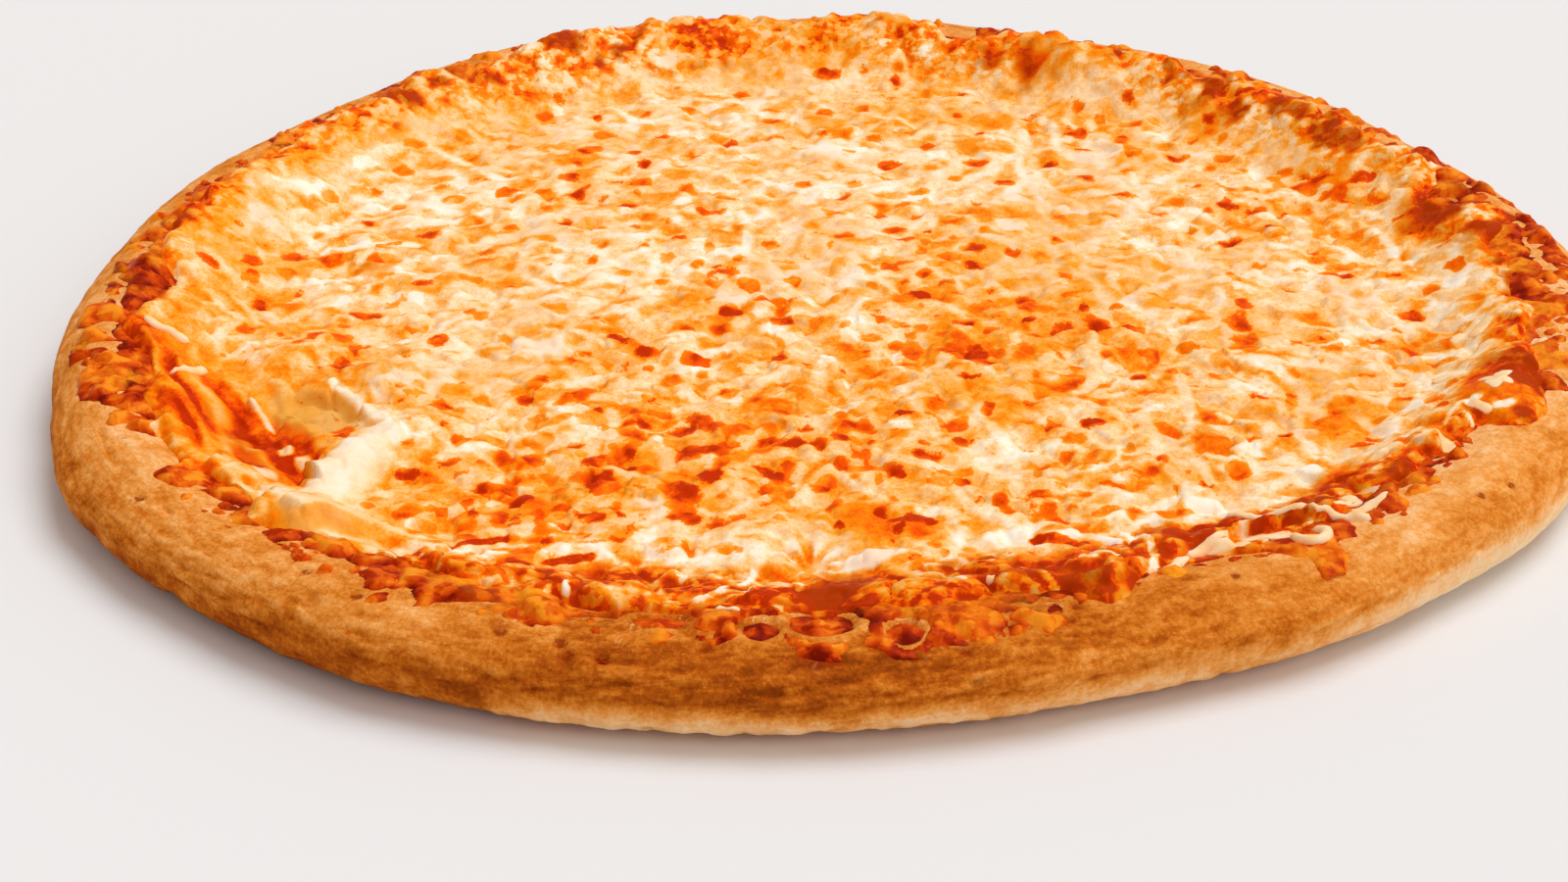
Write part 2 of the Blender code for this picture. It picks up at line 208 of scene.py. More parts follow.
def find(x, y):
    """The share of the way out to the outline, and the angle, of spots in mm."""
    x = x + MIDDLE_X
    y = y + MIDDLE_Y
    angle = np.arctan2(y, x)
    return np.hypot(x, y) / outline(angle), angle


def sauce_edge(angle):
    """The share of the outline where the sauce's solid ends."""
    return np.clip(SAUCE_EDGE + waves(SAUCE_EDGE_WAVES, angle), *SAUCE_EDGE_LIMITS)


def topping_edge(angle):
    """The share of the outline where sauce and cheese end."""
    return np.interp(np.degrees(angle) % 360.0, *zip(*TOPPING_EDGE))


def crust_top(share, angle):
    """The height of the dough's upper side in mm."""
    inset = (1.0 - share) * outline(angle)
    top = CREST_HEIGHT + waves(CREST_WAVES, angle)
    across = np.clip((CREST_INSET - inset) / CREST_INSET, 0.0, 1.0)
    outer = BULGE_HEIGHT + (top - BULGE_HEIGHT) * np.sqrt(1.0 - across * across)
    along = np.clip((inset - CREST_INSET) / SLOPE_WIDTH, 0.0, 1.0)
    inner = BASE_HEIGHT + (top - BASE_HEIGHT) * 0.5 * (1.0 + np.cos(math.pi * along))
    return np.where(inset < CREST_INSET, outer, inner)


def ease(low, high, value):
    """0 below low, 1 above high and a soft step between."""
    share = np.clip((value - low) / (high - low), 0.0, 1.0)
    return share * share * (3.0 - 2.0 * share)


def cloud(shape, size, seed):
    """Soft noise of mean 0 and spread 1 that repeats at its borders. size is in cells, one for each axis."""
    draw = np.random.default_rng(seed)
    spectrum = np.fft.rfft2(draw.standard_normal(shape))
    down = np.fft.fftfreq(shape[0])[:, None] * size[0]
    across = np.fft.rfftfreq(shape[1])[None, :] * size[1]
    made = np.fft.irfft2(spectrum * np.exp(-9.0 * (down * down + across * across)), s=shape)
    return (made - made.mean()) / made.std()


def to_mesh(shape, name):
    """Turns a finished bmesh into a mesh."""
    mesh = bpy.data.meshes.new(name)
    shape.to_mesh(mesh)
    shape.free()
    return mesh


def read_spots(mesh):
    """Where a mesh's vertices lie, as three arrays."""
    spots = np.empty(len(mesh.vertices) * 3)
    mesh.vertices.foreach_get("co", spots)
    return spots.reshape(-1, 3).T


def round_grid(name, rings, around):
    """A closed grid of rings about Z, pole to pole, with the ring and the angle of every vertex."""
    shape = bmesh.new()
    bmesh.ops.create_grid(shape, x_segments=around, y_segments=rings - 1, size=1.0)
    for vertex in shape.verts:
        ring = round(0.5 * (vertex.co.y + 1.0) * (rings - 1))
        turn = math.pi * vertex.co.x
        reach = 0.0 if ring in (0, rings - 1) else 1.0
        vertex.co = (reach * math.cos(turn), reach * math.sin(turn), ring)
    bmesh.ops.remove_doubles(shape, verts=shape.verts[:], dist=1e-5)
    bmesh.ops.recalc_face_normals(shape, faces=shape.faces[:])
    mesh = to_mesh(shape, name)
    x, y, z = read_spots(mesh)
    return mesh, np.rint(z).astype(int), np.arctan2(y, x)


def set_spots(mesh, x, y, z):
    """Places a mesh's vertices, given in mm, and shades it smooth."""
    spots = np.stack((x, y, z), axis=1) * MM
    mesh.vertices.foreach_set("co", spots.ravel())
    mesh.polygons.foreach_set("use_smooth", np.ones(len(mesh.polygons), dtype=bool))
    mesh.update()


def set_values(mesh, name, values):
    """Stores one value for each vertex, for a material to read."""
    made = mesh.attributes.new(name, "FLOAT", "POINT")
    made.data.foreach_set("value", np.ascontiguousarray(values, dtype=np.float32))


def add_piece(name, mesh, material, node):
    """Adds a finished piece that stands for a node of the frame."""
    made = bpy.data.objects.new(name, mesh)
    bpy.context.scene.collection.objects.link(made)
    mesh.materials.append(material)
    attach(made, "root")
    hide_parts(node)
    return made


def crust_section(angle):
    """Share and height of every ring of the dough, as arrays of ring by step."""
    reach = outline(angle)
    shares = [np.zeros_like(angle)]
    heights = [np.zeros_like(angle)]
    for share in CRUST_BOTTOM_SHARES:
        shares.append(np.full_like(angle, share))
        heights.append(np.zeros_like(angle))
    power = 2.0 / FOOT_ROUNDNESS
    for step in range(CRUST_FOOT_STEPS + 1):
        turn = math.radians(90.0 * step / CRUST_FOOT_STEPS)
        inset = FOOT_INSET * (1.0 - math.sin(turn) ** power)
        shares.append(1.0 - inset / reach)
        heights.append(np.full_like(angle, BULGE_HEIGHT * (1.0 - math.cos(turn) ** power)))
    edge = sauce_edge(angle)
    for step in range(1, CRUST_OUTER_STEPS + 1):
        turn = math.radians(90.0 * step / CRUST_OUTER_STEPS)
        share = 1.0 - (1.0 - edge) * (1.0 - math.cos(turn))
        shares.append(share)
        heights.append(crust_top(share, angle))
    for step in range(1, CRUST_SLOPE_STEPS + 1):
        share = edge + (SLOPE_END - edge) * step / CRUST_SLOPE_STEPS
        shares.append(share)
        heights.append(crust_top(share, angle))
    shares += [np.full_like(angle, CRUST_MIDDLE_SHARE), np.zeros_like(angle)]
    heights += [np.full_like(angle, BASE_HEIGHT), np.full_like(angle, BASE_HEIGHT)]
    return np.array(shares), np.array(heights)


def turned_spots(angle_degrees, width):
    """A soft window round an angle of the rim."""
    gap = np.abs((crust_degrees - angle_degrees + 180.0) % 360.0 - 180.0)
    return np.exp(-((gap / width) ** 2))


crust_angle = np.arange(CRUST_AROUND) * math.tau / CRUST_AROUND
crust_angle = np.where(crust_angle > math.pi, crust_angle - math.tau, crust_angle)
crust_share, crust_height = crust_section(crust_angle)
crust_degrees = np.degrees(crust_angle)[None, :] % 360.0
crust_reach = crust_share * outline(crust_angle)[None, :]
run = np.gradient(crust_reach, axis=0)
rise = np.gradient(crust_height, axis=0)
length = np.hypot(run, rise) + 1e-9
out_r, out_z = rise / length, -run / length
crust_rings = crust_share.shape[0]
inset = (1.0 - crust_share) * outline(crust_angle)[None, :]

# How far each ring stands on the outer side, which shows.
shown = ease(0.4, 2.5, crust_height) * ease(-0.010, 0.045, crust_share - topping_edge(crust_angle)[None, :])
front = turned_spots(268.0, 24.0)
left = turned_spots(222.0, 24.0)
right = turned_spots(322.0, 30.0)
size = (crust_rings, CRUST_AROUND)
lumps = cloud(size, (10.0, 24.0), 1)
folds = cloud(size, (2.6, 7.0), 2)
fine_folds = cloud(size, (1.5, 2.6), 3)
blisters = cloud(size, (5.0, 6.0), 4)
grain = cloud(size, (1.0, 1.1), 5)
pit_field = cloud(size, (2.4, 2.2), 6)
crease = -np.exp(-((folds / 0.25) ** 2)) * ease(-0.2, 0.9, cloud(size, (8.0, 20.0), 7))
pits = -ease(1.7, 2.6, pit_field)
crust_relief = (0.36 - 0.14 * right) * lumps + (0.10 + 0.08 * front) * blisters
crust_relief += (0.08 + 0.24 * left + 0.20 * front) * crease
crust_relief += (0.05 + 0.05 * left + 0.06 * front) * fine_folds
crust_relief += (0.10 + 0.55 * left + 0.70 * front) * pits
crust_relief += 0.05 * grain * (1.0 + 1.8 * front + 0.5 * left)
crust_relief *= shown
push = np.zeros_like(crust_relief)
crust_x = crust_reach * np.cos(crust_angle)[None, :] - MIDDLE_X
crust_y = crust_reach * np.sin(crust_angle)[None, :] - MIDDLE_Y
for at, spot_inset, reach, rise_by in RIM_SPOTS:
    turn = math.radians(at)
    far = (1.0 - spot_inset / RADIUS) * float(outline(np.array(turn)))
    gone = (crust_x + MIDDLE_X - far * math.cos(turn)) ** 2 + (crust_y + MIDDLE_Y - far * math.sin(turn)) ** 2
    push += rise_by * np.exp(-gone / (reach * reach))
push *= np.clip(1.0 - inset / CREST_INSET, 0.0, 1.0) ** 2 * np.clip(crust_height / BULGE_HEIGHT, 0.0, 1.0)
# The holes, painted dark inside as painted shade, and the stain.
crust_hole_shade_and_stain = np.full_like(crust_relief, -2.0)
on_top = crust_height > BULGE_HEIGHT
for x, y, wide, deep, depth in CRUST_PITS:
    gone = np.hypot((crust_x - x) / wide, (crust_y - y) / deep)
    crust_hole_shade_and_stain = np.maximum(crust_hole_shade_and_stain, np.where(on_top, (1.0 - gone) * deep, -2.0))
    crust_relief -= depth * np.exp(-(gone**3)) * on_top
crust_ring = np.zeros_like(crust_relief)
broken = ease(-1.0, 0.6, cloud(size, (6.0, 7.0), 11))
for x, y, wide, deep in CAVITIES:
    gone = np.hypot((crust_x - x) / wide, (crust_y - y) / deep) + 0.09 * blisters
    off_ring = (gone - CAVITY_RING) * deep / CAVITY_RING_WIDTH
    crust_ring = np.maximum(crust_ring, np.exp(-(off_ring**2)) * on_top)
    crust_relief -= CAVITY_DEPTH * ease(1.1, 0.8, gone) * on_top
crust_ring = crust_ring * broken
crust_relief += CAVITY_RING_HEIGHT * crust_ring * (1.0 + 0.6 * fine_folds)
# The right and left ends are drawn in a little, so that no lump passes the solid's box.
keep_in = 0.9 * turned_spots(2.0, 30.0) + 0.15 * turned_spots(180.0, 25.0)
crust_reach = crust_reach + push + crust_relief * out_r - keep_in * np.maximum(out_r, 0.0)
crust_height = np.maximum(0.0, crust_height + crust_relief * out_z)

# How pale the dough is, from the dark 0 to the pale 1: browning and flour mixed with painted light and shade,
# and where painted shade darkens its creases and pits.
tone_angles, tone_top, tone_middle, tone_foot_and_light = zip(*CRUST_TONES_AND_LIGHT)
top_tone = np.interp(crust_degrees, tone_angles, tone_top)
middle_tone = np.interp(crust_degrees, tone_angles, tone_middle)
foot_tone_and_light = np.interp(crust_degrees, tone_angles, tone_foot_and_light)
by_topping = np.exp(-((np.maximum(crust_share - topping_edge(crust_angle)[None, :], 0.0) / 0.022) ** 2))
# Where the foot tones take over; they reach higher at the right, where the foot is painted paler as painted
# light.
low = 1.0 - ease(4.0 + 3.0 * right, 11.0 + 4.5 * right, crust_height)
crust_pale_and_shade = middle_tone * (1.0 - low) + foot_tone_and_light * low
crust_pale_and_shade = crust_pale_and_shade + (top_tone - crust_pale_and_shade) * ease(9.0, 16.5, crust_height) + 0.12 * by_topping
crust_pale_and_shade += 0.05 * cloud(size, (12.0, 30.0), 8) + 0.05 * cloud(size, (2.5, 4.0), 9)
crust_pale_and_shade += 0.04 * fine_folds + 0.06 * grain
crust_pale_and_shade += 0.10 * right * cloud(size, (9.0, 20.0), 10)
# Pale dough rings round the burst bubbles; raised places are painted paler and dents darker, a painted light
# and shade of the relief.
crust_pale_and_shade += 0.22 * crust_ring + 0.10 * np.clip(crust_relief, -1.5, 1.0)
# Painted shade: darker along the floor, but for the right side.
crust_pale_and_shade -= 0.45 * (1.0 - ease(0.3, 3.6, crust_height)) * (1.0 - right)
# Painted shade in the creases and pits.
crust_pit_shade = ease(0.25, 1.0, -crease * (0.5 * left + 0.3 * front) - pits * (0.3 + front)) * shown
crust_wisp = by_topping * (0.25 + 0.75 * np.maximum(front, right))
crust_run = np.cumsum(length, axis=0)
crust_coarse = 0.30 + 0.70 * np.maximum(front, left) * (1.0 - 0.8 * right)
crust_floor = 1.0 - ease(0.02, 0.4, crust_height)

crust_mesh, ring, around = round_grid("crust_dough", crust_rings, CRUST_AROUND)
step = np.rint(around / math.tau * CRUST_AROUND).astype(int) % CRUST_AROUND
reach = crust_reach[ring, step]
spot_x = reach * np.cos(around) - MIDDLE_X
spot_y = reach * np.sin(around) - MIDDLE_Y
set_spots(crust_mesh, spot_x, spot_y, crust_height[ring, step])
for label, values in (
    ("pale_and_shade", crust_pale_and_shade),
    ("pit_shade", crust_pit_shade),
    ("floor", crust_floor),
    ("wisp", crust_wisp),
    ("hole_shade_and_stain", crust_hole_shade_and_stain),
):
    set_values(crust_mesh, label, values[ring, step])
set_values(crust_mesh, "coarse", crust_coarse[0, step])
# Places squeezed along the rim, so that noise at them runs in fibres round it.
squeezed = RADIUS / CRUST_FIBRE_LENGTH
along = np.stack((squeezed * np.cos(around), squeezed * np.sin(around), crust_run[ring, step]), axis=1) * MM
made = crust_mesh.attributes.new("along", "FLOAT_VECTOR", "POINT")
made.data.foreach_set("vector", along.astype(np.float32).ravel())


def new_group(name, inputs, outputs):
    """An empty node group with float inputs of given defaults and typed outputs."""
    group = bpy.data.node_groups.new(name, "ShaderNodeTree")
    for label, value in inputs:
        socket = group.interface.new_socket(label, in_out="INPUT", socket_type="NodeSocketFloat")
        socket.default_value = value
    for label, kind in outputs:
        group.interface.new_socket(label, in_out="OUTPUT", socket_type=kind)
    return group, group.nodes.new("NodeGroupInput"), group.nodes.new("NodeGroupOutput")


def add(tree, kind, links=(), **settings):
    """A node with settings, whose inputs take values or other nodes' outputs."""
    node = tree.nodes.new(kind)
    for key, value in settings.items():
        setattr(node, key, value)
    for label, value in links:
        socket = node.inputs[label]
        if isinstance(value, bpy.types.NodeSocket):
            tree.links.new(value, socket)
        else:
            socket.default_value = value
    return node


def noise_of(group, given, detail, **settings):
    """A group's own noise on Object coordinates, at its Scale."""
    place = add(group, "ShaderNodeTexCoord").outputs["Object"]
    links = (("Vector", place), ("Scale", given.outputs["Scale"]), ("Detail", detail))
    return add(group, "ShaderNodeTexNoise", links + tuple(settings.items())).outputs["Fac"]


def mottle_group():
    """Soft patches from 0 to 1, at a scale in patches per metre."""
    inputs = (("Scale", 100.0), ("Low", 0.4), ("High", 0.6))
    group, given, out = new_group("mottle", inputs, (("Value", "NodeSocketFloat"),))
    links = (
        ("Value", noise_of(group, given, 4.0)),
        ("From Min", given.outputs["Low"]),
        ("From Max", given.outputs["High"]),
    )
    spread = add(group, "ShaderNodeMapRange", links, interpolation_type="SMOOTHSTEP")
    group.links.new(spread.outputs["Result"], out.inputs["Value"])
    return group


def grain_group():
    """A bumped normal from fine noise, at a scale in grains per metre and a depth in metres."""
    inputs = (("Scale", 900.0), ("Strength", 0.5), ("Depth", 0.0004))
    group, given, out = new_group("grain", inputs, (("Normal", "NodeSocketVector"),))
    links = (
        ("Strength", given.outputs["Strength"]),
        ("Distance", given.outputs["Depth"]),
        ("Height", noise_of(group, given, 5.0)),
    )
    bump = add(group, "ShaderNodeBump", links)
    group.links.new(bump.outputs["Normal"], out.inputs["Normal"])
    return group


def thread_group():
    """Thin winding lines, at a scale in bends per metre: 1 on a line and 0 off it."""
    inputs = (("Scale", 260.0), ("Width", 0.02))
    group, given, out = new_group("threads", inputs, (("Value", "NodeSocketFloat"),))
    off = calc(group, "ABSOLUTE", calc(group, "SUBTRACT", noise_of(group, given, 2.0, Distortion=0.8), 0.5))
    links = (("Value", off), ("From Max", given.outputs["Width"]), ("To Min", 1.0), ("To Max", 0.0))
    line = add(group, "ShaderNodeMapRange", links, interpolation_type="SMOOTHSTEP")
    group.links.new(line.outputs["Result"], out.inputs["Value"])
    return group


def use_group(tree, group, **values):
    """Places a node group in a material with its own values."""
    node = tree.nodes.new("ShaderNodeGroup")
    node.node_tree = group
    for key, value in values.items():
        node.inputs[key].default_value = value
    return node


def read(tree, name):
    """The value that the mesh holds under a name."""
    return add(tree, "ShaderNodeAttribute", attribute_name=name).outputs["Fac"]


def blend(tree, share, first, second, kind="MIX"):
    """A mix of two colours, each a socket or a plain colour."""
    node = add(tree, "ShaderNodeMix", data_type="RGBA", blend_type=kind, clamp_factor=True)
    for label, value in (("Factor_Float", share), ("A_Color", first), ("B_Color", second)):
        socket = next(item for item in node.inputs if item.identifier == label)
        if isinstance(value, bpy.types.NodeSocket):
            tree.links.new(value, socket)
        else:
            socket.default_value = value if label == "Factor_Float" else (*value, 1.0)
    return next(item for item in node.outputs if item.identifier == "Result_Color")


def calc(tree, operation, first, second=0.0):
    """One sum on sockets or plain numbers."""
    node = add(tree, "ShaderNodeMath", operation=operation)
    for place, value in ((0, first), (1, second)):
        if isinstance(value, bpy.types.NodeSocket):
            tree.links.new(value, node.inputs[place])
        else:
            node.inputs[place].default_value = value
    return node.outputs["Value"]


MOTTLE = mottle_group()
GRAIN = grain_group()
THREADS = thread_group()


def mottle(tree, scale, low, high):
    """Soft patches from 0 to 1: how many to a metre, and the noise values that give 0 and 1."""
    return use_group(tree, MOTTLE, Scale=scale, Low=low, High=high).outputs["Value"]


def times(tree, first, second):
    """The product of two sockets or plain numbers."""
    return calc(tree, "MULTIPLY", first, second)


def plus(tree, base, value, factor=1.0, middle=0.0):
    """Adds to base how far a value lies above its middle, times a factor."""
    moved = calc(tree, "SUBTRACT", value, middle) if middle else value
    return calc(tree, "ADD", base, calc(tree, "MULTIPLY", moved, factor))


def stretch(tree, value, low_end, high_end):
    """A socket's value spread from 0 at one end to 1 at the other."""
    node = add(tree, "ShaderNodeMapRange", (("Value", value), ("From Min", low_end), ("From Max", high_end)))
    return node.outputs["Result"]


def new_material(name):
    """A material with nodes, its tree and its shader."""
    material = bpy.data.materials.new(name)
    material.use_nodes = True
    return material, material.node_tree, material.node_tree.nodes["Principled BSDF"]


def make_rough(tree, shader, share, least, most):
    """Roughness from least to most by a share from 0 to 1."""
    node = add(tree, "ShaderNodeMapRange", (("Value", share), ("To Min", least), ("To Max", most)))
    tree.links.new(node.outputs["Result"], shader.inputs["Roughness"])


def ramp(tree, value, stops):
    """A colour ramp over stops of value and colour."""
    low, high = stops[0][0], stops[-1][0]
    scaled = add(tree, "ShaderNodeMapRange", (("Value", value), ("From Min", low), ("From Max", high)))
    node = add(tree, "ShaderNodeValToRGB", (("Fac", scaled.outputs["Result"]),))
    points = node.color_ramp.elements
    for place, (at, color) in enumerate(stops):
        share = (at - low) / (high - low)
        point = points[0] if place == 0 else points[-1] if place == len(stops) - 1 else points.new(share)
        point.position = share
        point.color = (*color, 1.0)
    return node.outputs["Color"]


def crust_material():
    """Golden dough: browned where the heat reached it, pale and floury elsewhere, with painted light and
    shade in its tone and painted shade in its creases, pits and holes.
    """
    material, tree, shader = new_material("crust")
    specks = mottle(tree, 1000.0, 0.40, 0.60)
    pale_and_shade = plus(tree, read(tree, "pale_and_shade"), mottle(tree, 230.0, 0.32, 0.68), 0.14, 0.5)
    pale_and_shade = plus(tree, pale_and_shade, specks, 0.16, 0.5)
    pale_and_shade = plus(tree, pale_and_shade, mottle(tree, 1900.0, 0.55, 0.66), 0.14)
    place = add(tree, "ShaderNodeAttribute", attribute_name="along").outputs["Vector"]
    fibres = add(
        tree,
        "ShaderNodeTexNoise",
        (("Vector", place), ("Scale", 420.0), ("Detail", 6.0), ("Roughness", 0.62), ("Distortion", 0.6)),
    ).outputs["Fac"]
    strands = calc(tree, "SUBTRACT", stretch(tree, fibres, 0.30, 0.70), 0.5)
    pale_and_shade = plus(tree, pale_and_shade, times(tree, strands, read(tree, "coarse")), 0.40)
    color = ramp(
        tree,
        pale_and_shade,
        (
            (-0.2, (0.26, 0.045, 0.003)),
            (0.1, (0.47, 0.100, 0.006)),
            (0.3, (0.62, 0.170, 0.013)),
            (0.5, (0.76, 0.255, 0.034)),
            (0.75, (0.89, 0.385, 0.095)),
            (1.0, (0.96, 0.540, 0.235)),
            (1.5, (1.0, 0.760, 0.480)),
        ),
    )
    # Painted shade in the creases and pits.
    color = blend(tree, times(tree, read(tree, "pit_shade"), 0.7), color, (0.36, 0.07, 0.004))
    # Painted shade inside the holes, and the stain at the front.
    hole_shade_and_stain = plus(tree, read(tree, "hole_shade_and_stain"), specks, 0.7, 0.5)
    color = blend(tree, times(tree, stretch(tree, hole_shade_and_stain, -0.1, 0.5), 0.85), color, (0.30, 0.035, 0.003))
    wisps = use_group(tree, THREADS, Scale=210.0, Width=0.016).outputs["Value"]
    wisps = times(tree, wisps, mottle(tree, 120.0, 0.46, 0.60))
    color = blend(tree, times(tree, read(tree, "wisp"), times(tree, wisps, 0.75)), color, (0.98, 0.62, 0.30))
    under = blend(tree, mottle(tree, 160.0, 0.36, 0.66), (0.60, 0.26, 0.07), (0.24, 0.075, 0.015))
    color = blend(tree, read(tree, "floor"), color, under)
    tree.links.new(color, shader.inputs["Base Color"])
    make_rough(tree, shader, specks, 0.5, 0.7)
    shader.inputs["IOR"].default_value = 1.05
    fine_normal = use_group(tree, GRAIN, Scale=900.0, Strength=0.7, Depth=0.0006).outputs["Normal"]
    bump = add(
        tree,
        "ShaderNodeBump",
        (("Strength", 0.6), ("Distance", 0.0012), ("Height", fibres), ("Normal", fine_normal)),
    )
    tree.links.new(bump.outputs["Normal"], shader.inputs["Normal"])
    return material


add_piece("crust_dough", crust_mesh, crust_material(), "crust")

# The sauce is cooked tomato with oil, spread thin on the dough and baked. It
# shows round the edge of the cheese as wet orange cells with brown-red rims,
# with threads of dough between the outer ones. The grooves and low places are
# painted darker as painted shade.
FIELD_STEP = 0.5
FIELD_CELLS = 750
FIELD_HALF = 0.5 * (FIELD_CELLS - 1) * FIELD_STEP
SAUCE_AROUND = 1440
SAUCE_OUTER = 0.968
SAUCE_INNER = 0.76
SAUCE_RINGS = 58
SAUCE_UNDER_SHARES = (0.0, 0.45, 0.72, 0.85, 0.95)
SAUCE_MIDDLE_SHARES = (0.6, 0.3, 0.0)
CELL_GAP = 8.5
SMALL_CELL_GAP = 3.6
SET_CELL_REACH = 1.3
CAVITY_REACH = 1.3
SAUCE_UNDER_DEPTH = 3.4
# Sauce that breaks through the rim outside the edge: middle and half widths.
SAUCE_SPOTS = (
    (-3.9, -171.8, 5.2, 1.6),
    (-21.0, -168.0, 2.4, 1.6),
    (61.5, -141.0, 4.0, 3.0),
    (67.0, -138.0, 3.0, 2.0),
    (88.4, -131.0, 8.0, 6.0),
    (91.5, -138.0, 2.4, 4.6),
    (-160.5, -15.0, 4.5, 8.0),
)
# Smooth wet pools of sauce at the near right: middle and half widths.
POOLS = (
    (85.0, -126.5, 12.0, 6.0),
    (91.5, -136.0, 3.0, 7.5),
    (139.0, -72.0, 8.0, 12.0),
)
# Golden lumps at the front: middle, half widths and tone.
SET_CELLS = (
    (-41.0, -153.0, 8.0, 6.0, 0.95),
    (18.0, -150.0, 9.0, 6.0, 0.95),
)

field_line = (np.arange(FIELD_CELLS) - 0.5 * (FIELD_CELLS - 1)) * FIELD_STEP
field_x, field_y = np.meshgrid(field_line, field_line)
field_share, field_angle = find(field_x, field_y)
field_dough = crust_top(field_share, field_angle)
field_shape = field_x.shape


def soft(size_mm, seed):
    """Soft noise over the field, of blobs about size_mm wide."""
    return cloud(field_shape, (size_mm / FIELD_STEP, size_mm / FIELD_STEP), seed)


def sample(field, x, y):
    """A field's values at spots between its cells."""
    column = np.clip((x + FIELD_HALF) / FIELD_STEP, 0.0, field_shape[1] - 1.001)
    row = np.clip((y + FIELD_HALF) / FIELD_STEP, 0.0, field_shape[0] - 1.001)
    left_cell = column.astype(int)
    low_cell = row.astype(int)
    u = column - left_cell
    v = row - low_cell
    near = field[low_cell, left_cell] * (1.0 - u) + field[low_cell, left_cell + 1] * u
    far_row = field[low_cell + 1, left_cell] * (1.0 - u) + field[low_cell + 1, left_cell + 1] * u
    return near * (1.0 - v) + far_row * v


def swell(x, y, wide, deep=None, turn=0.0):
    """A soft round or oval bump of height 1 on the field, turned by some degrees."""
    deep = wide if deep is None else deep
    cos, sin = math.cos(math.radians(turn)), math.sin(math.radians(turn))
    along = (field_x - x) * cos + (field_y - y) * sin
    across = (field_y - y) * cos - (field_x - x) * sin
    return np.exp(-((along / wide) ** 2) - (across / deep) ** 2)


def cells(gap, seed, wobble):
    """Irregular cells about gap mm wide: how far inside the border, a random tone and the middle of each."""
    draw = np.random.default_rng(seed)
    count = int(2.0 * FIELD_HALF / gap) + 8
    shift_x, shift_y, own = draw.random((3, count, count))
    at_x = (field_x + FIELD_HALF + wobble * soft(3.0, seed + 1)) / gap + 3.0
    at_y = (field_y + FIELD_HALF + wobble * soft(3.0, seed + 2)) / gap + 3.0
    first = np.full(field_shape, 9.0)
    second = np.full(field_shape, 9.0)
    tone = np.zeros(field_shape)
    middle_x = np.zeros(field_shape)
    middle_y = np.zeros(field_shape)
    for down in (-1, 0, 1):
        for across in (-1, 0, 1):
            column = np.floor(at_x).astype(int) + across
            row = np.floor(at_y).astype(int) + down
            seed_x = column + shift_x[row, column]
            seed_y = row + shift_y[row, column]
            gone = np.hypot(seed_x - at_x, seed_y - at_y)
            nearer = gone < first
            second = np.minimum(second, np.maximum(first, gone))
            first = np.minimum(first, gone)
            tone = np.where(nearer, own[row, column], tone)
            middle_x = np.where(nearer, seed_x, middle_x)
            middle_y = np.where(nearer, seed_y, middle_y)
    middle_x = (middle_x - 3.0) * gap - FIELD_HALF
    middle_y = (middle_y - 3.0) * gap - FIELD_HALF
    return 0.5 * gap * (second - first), tone, middle_x, middle_y


def away(x, y, wide, deep):
    """How far the field's cells lie from a spot, where 1 is the edge of an oval with those half widths."""
    return np.hypot((field_x - x) / wide, (field_y - y) / deep)


def inside_edge(edge, x, y):
    """How many mm spots lie inside an edge that is given as a function of the angle."""
    share, angle = find(x, y)
    return (edge(angle) - share) * outline(angle)


cell_border, cell_tone, cell_x, cell_y = cells(CELL_GAP, 21, 0.9)
small_border, small_tone, small_x, small_y = cells(SMALL_CELL_GAP, 24, 0.5)
edge_in = inside_edge(topping_edge, field_x, field_y)
whole_cell_in = inside_edge(topping_edge, cell_x, cell_y) + 1.5
small_cell_in = inside_edge(topping_edge, small_x, small_y)
ragged = 0.7 * soft(2.4, 27) + 0.3 * soft(1.2, 28)
for x, y, wide, deep, tone in SET_CELLS:
    gone = away(x, y, wide, deep) + 0.06 * ragged
    cell_border = np.where(gone < SET_CELL_REACH, np.abs(1.0 - gone) * deep, cell_border)
    whole_cell_in = np.where(gone < 1.0, 2.0, whole_cell_in)
    cell_tone = np.where(gone < 1.0, tone, cell_tone)

# Whole cells make the edge: outer ones stand apart, with dough between them.
between = ease(1.0, 9.0, edge_in)
dome = cell_border * 1.3 + ragged - 0.9 * (1.0 - between)
sauce_in = np.where(whole_cell_in > 0.0, dome + 2.4 * between, -3.0)
dots = np.where((small_cell_in > -3.0) & (small_tone > 0.45), small_border * 1.6 - 0.5 + 0.3 * ragged, -3.0)
sauce_in = np.maximum(sauce_in, dots)
for x, y, wide, deep in SAUCE_SPOTS:
    sauce_in = np.maximum(sauce_in, 2.2 * (1.15 - away(x, y, wide, deep) ** 2) + 0.5 * ragged)
sauce_depth = np.clip(sauce_in * 0.55, -2.6, 1.5)
for x, y, wide, deep in CAVITIES:
    gone = away(x, y, wide, deep) + 0.05 * ragged
    within = gone < CAVITY_REACH
    sauce_depth = np.where(within, -0.5 + 0.5 * np.cos(2.4 * gone) + 0.3 * soft(1.4, 37), sauce_depth)
    cell_border = np.where(within, np.clip((1.05 - gone) * deep, 0.2, 9.0), cell_border)
    cell_tone = np.where(within, 0.35, cell_tone)
pool = np.zeros(field_shape)
for x, y, wide, deep in POOLS:
    pool = np.maximum(pool, ease(1.15, 0.85, away(x, y, wide, deep) + 0.06 * ragged))
sauce_depth = sauce_depth * (1.0 - pool) + 0.9 * pool
cell_border = np.where(pool > 0.3, 3.0, cell_border)
cell_tone = cell_tone * (1.0 - pool) + 0.45 * pool
sauce_wet = ease(-0.2, 0.8, sauce_depth)
groove = np.exp(-((cell_border / 0.9) ** 2)) * ease(-0.6, 0.5, soft(9.0, 36))
small_groove = np.exp(-((small_border / 0.5) ** 2))
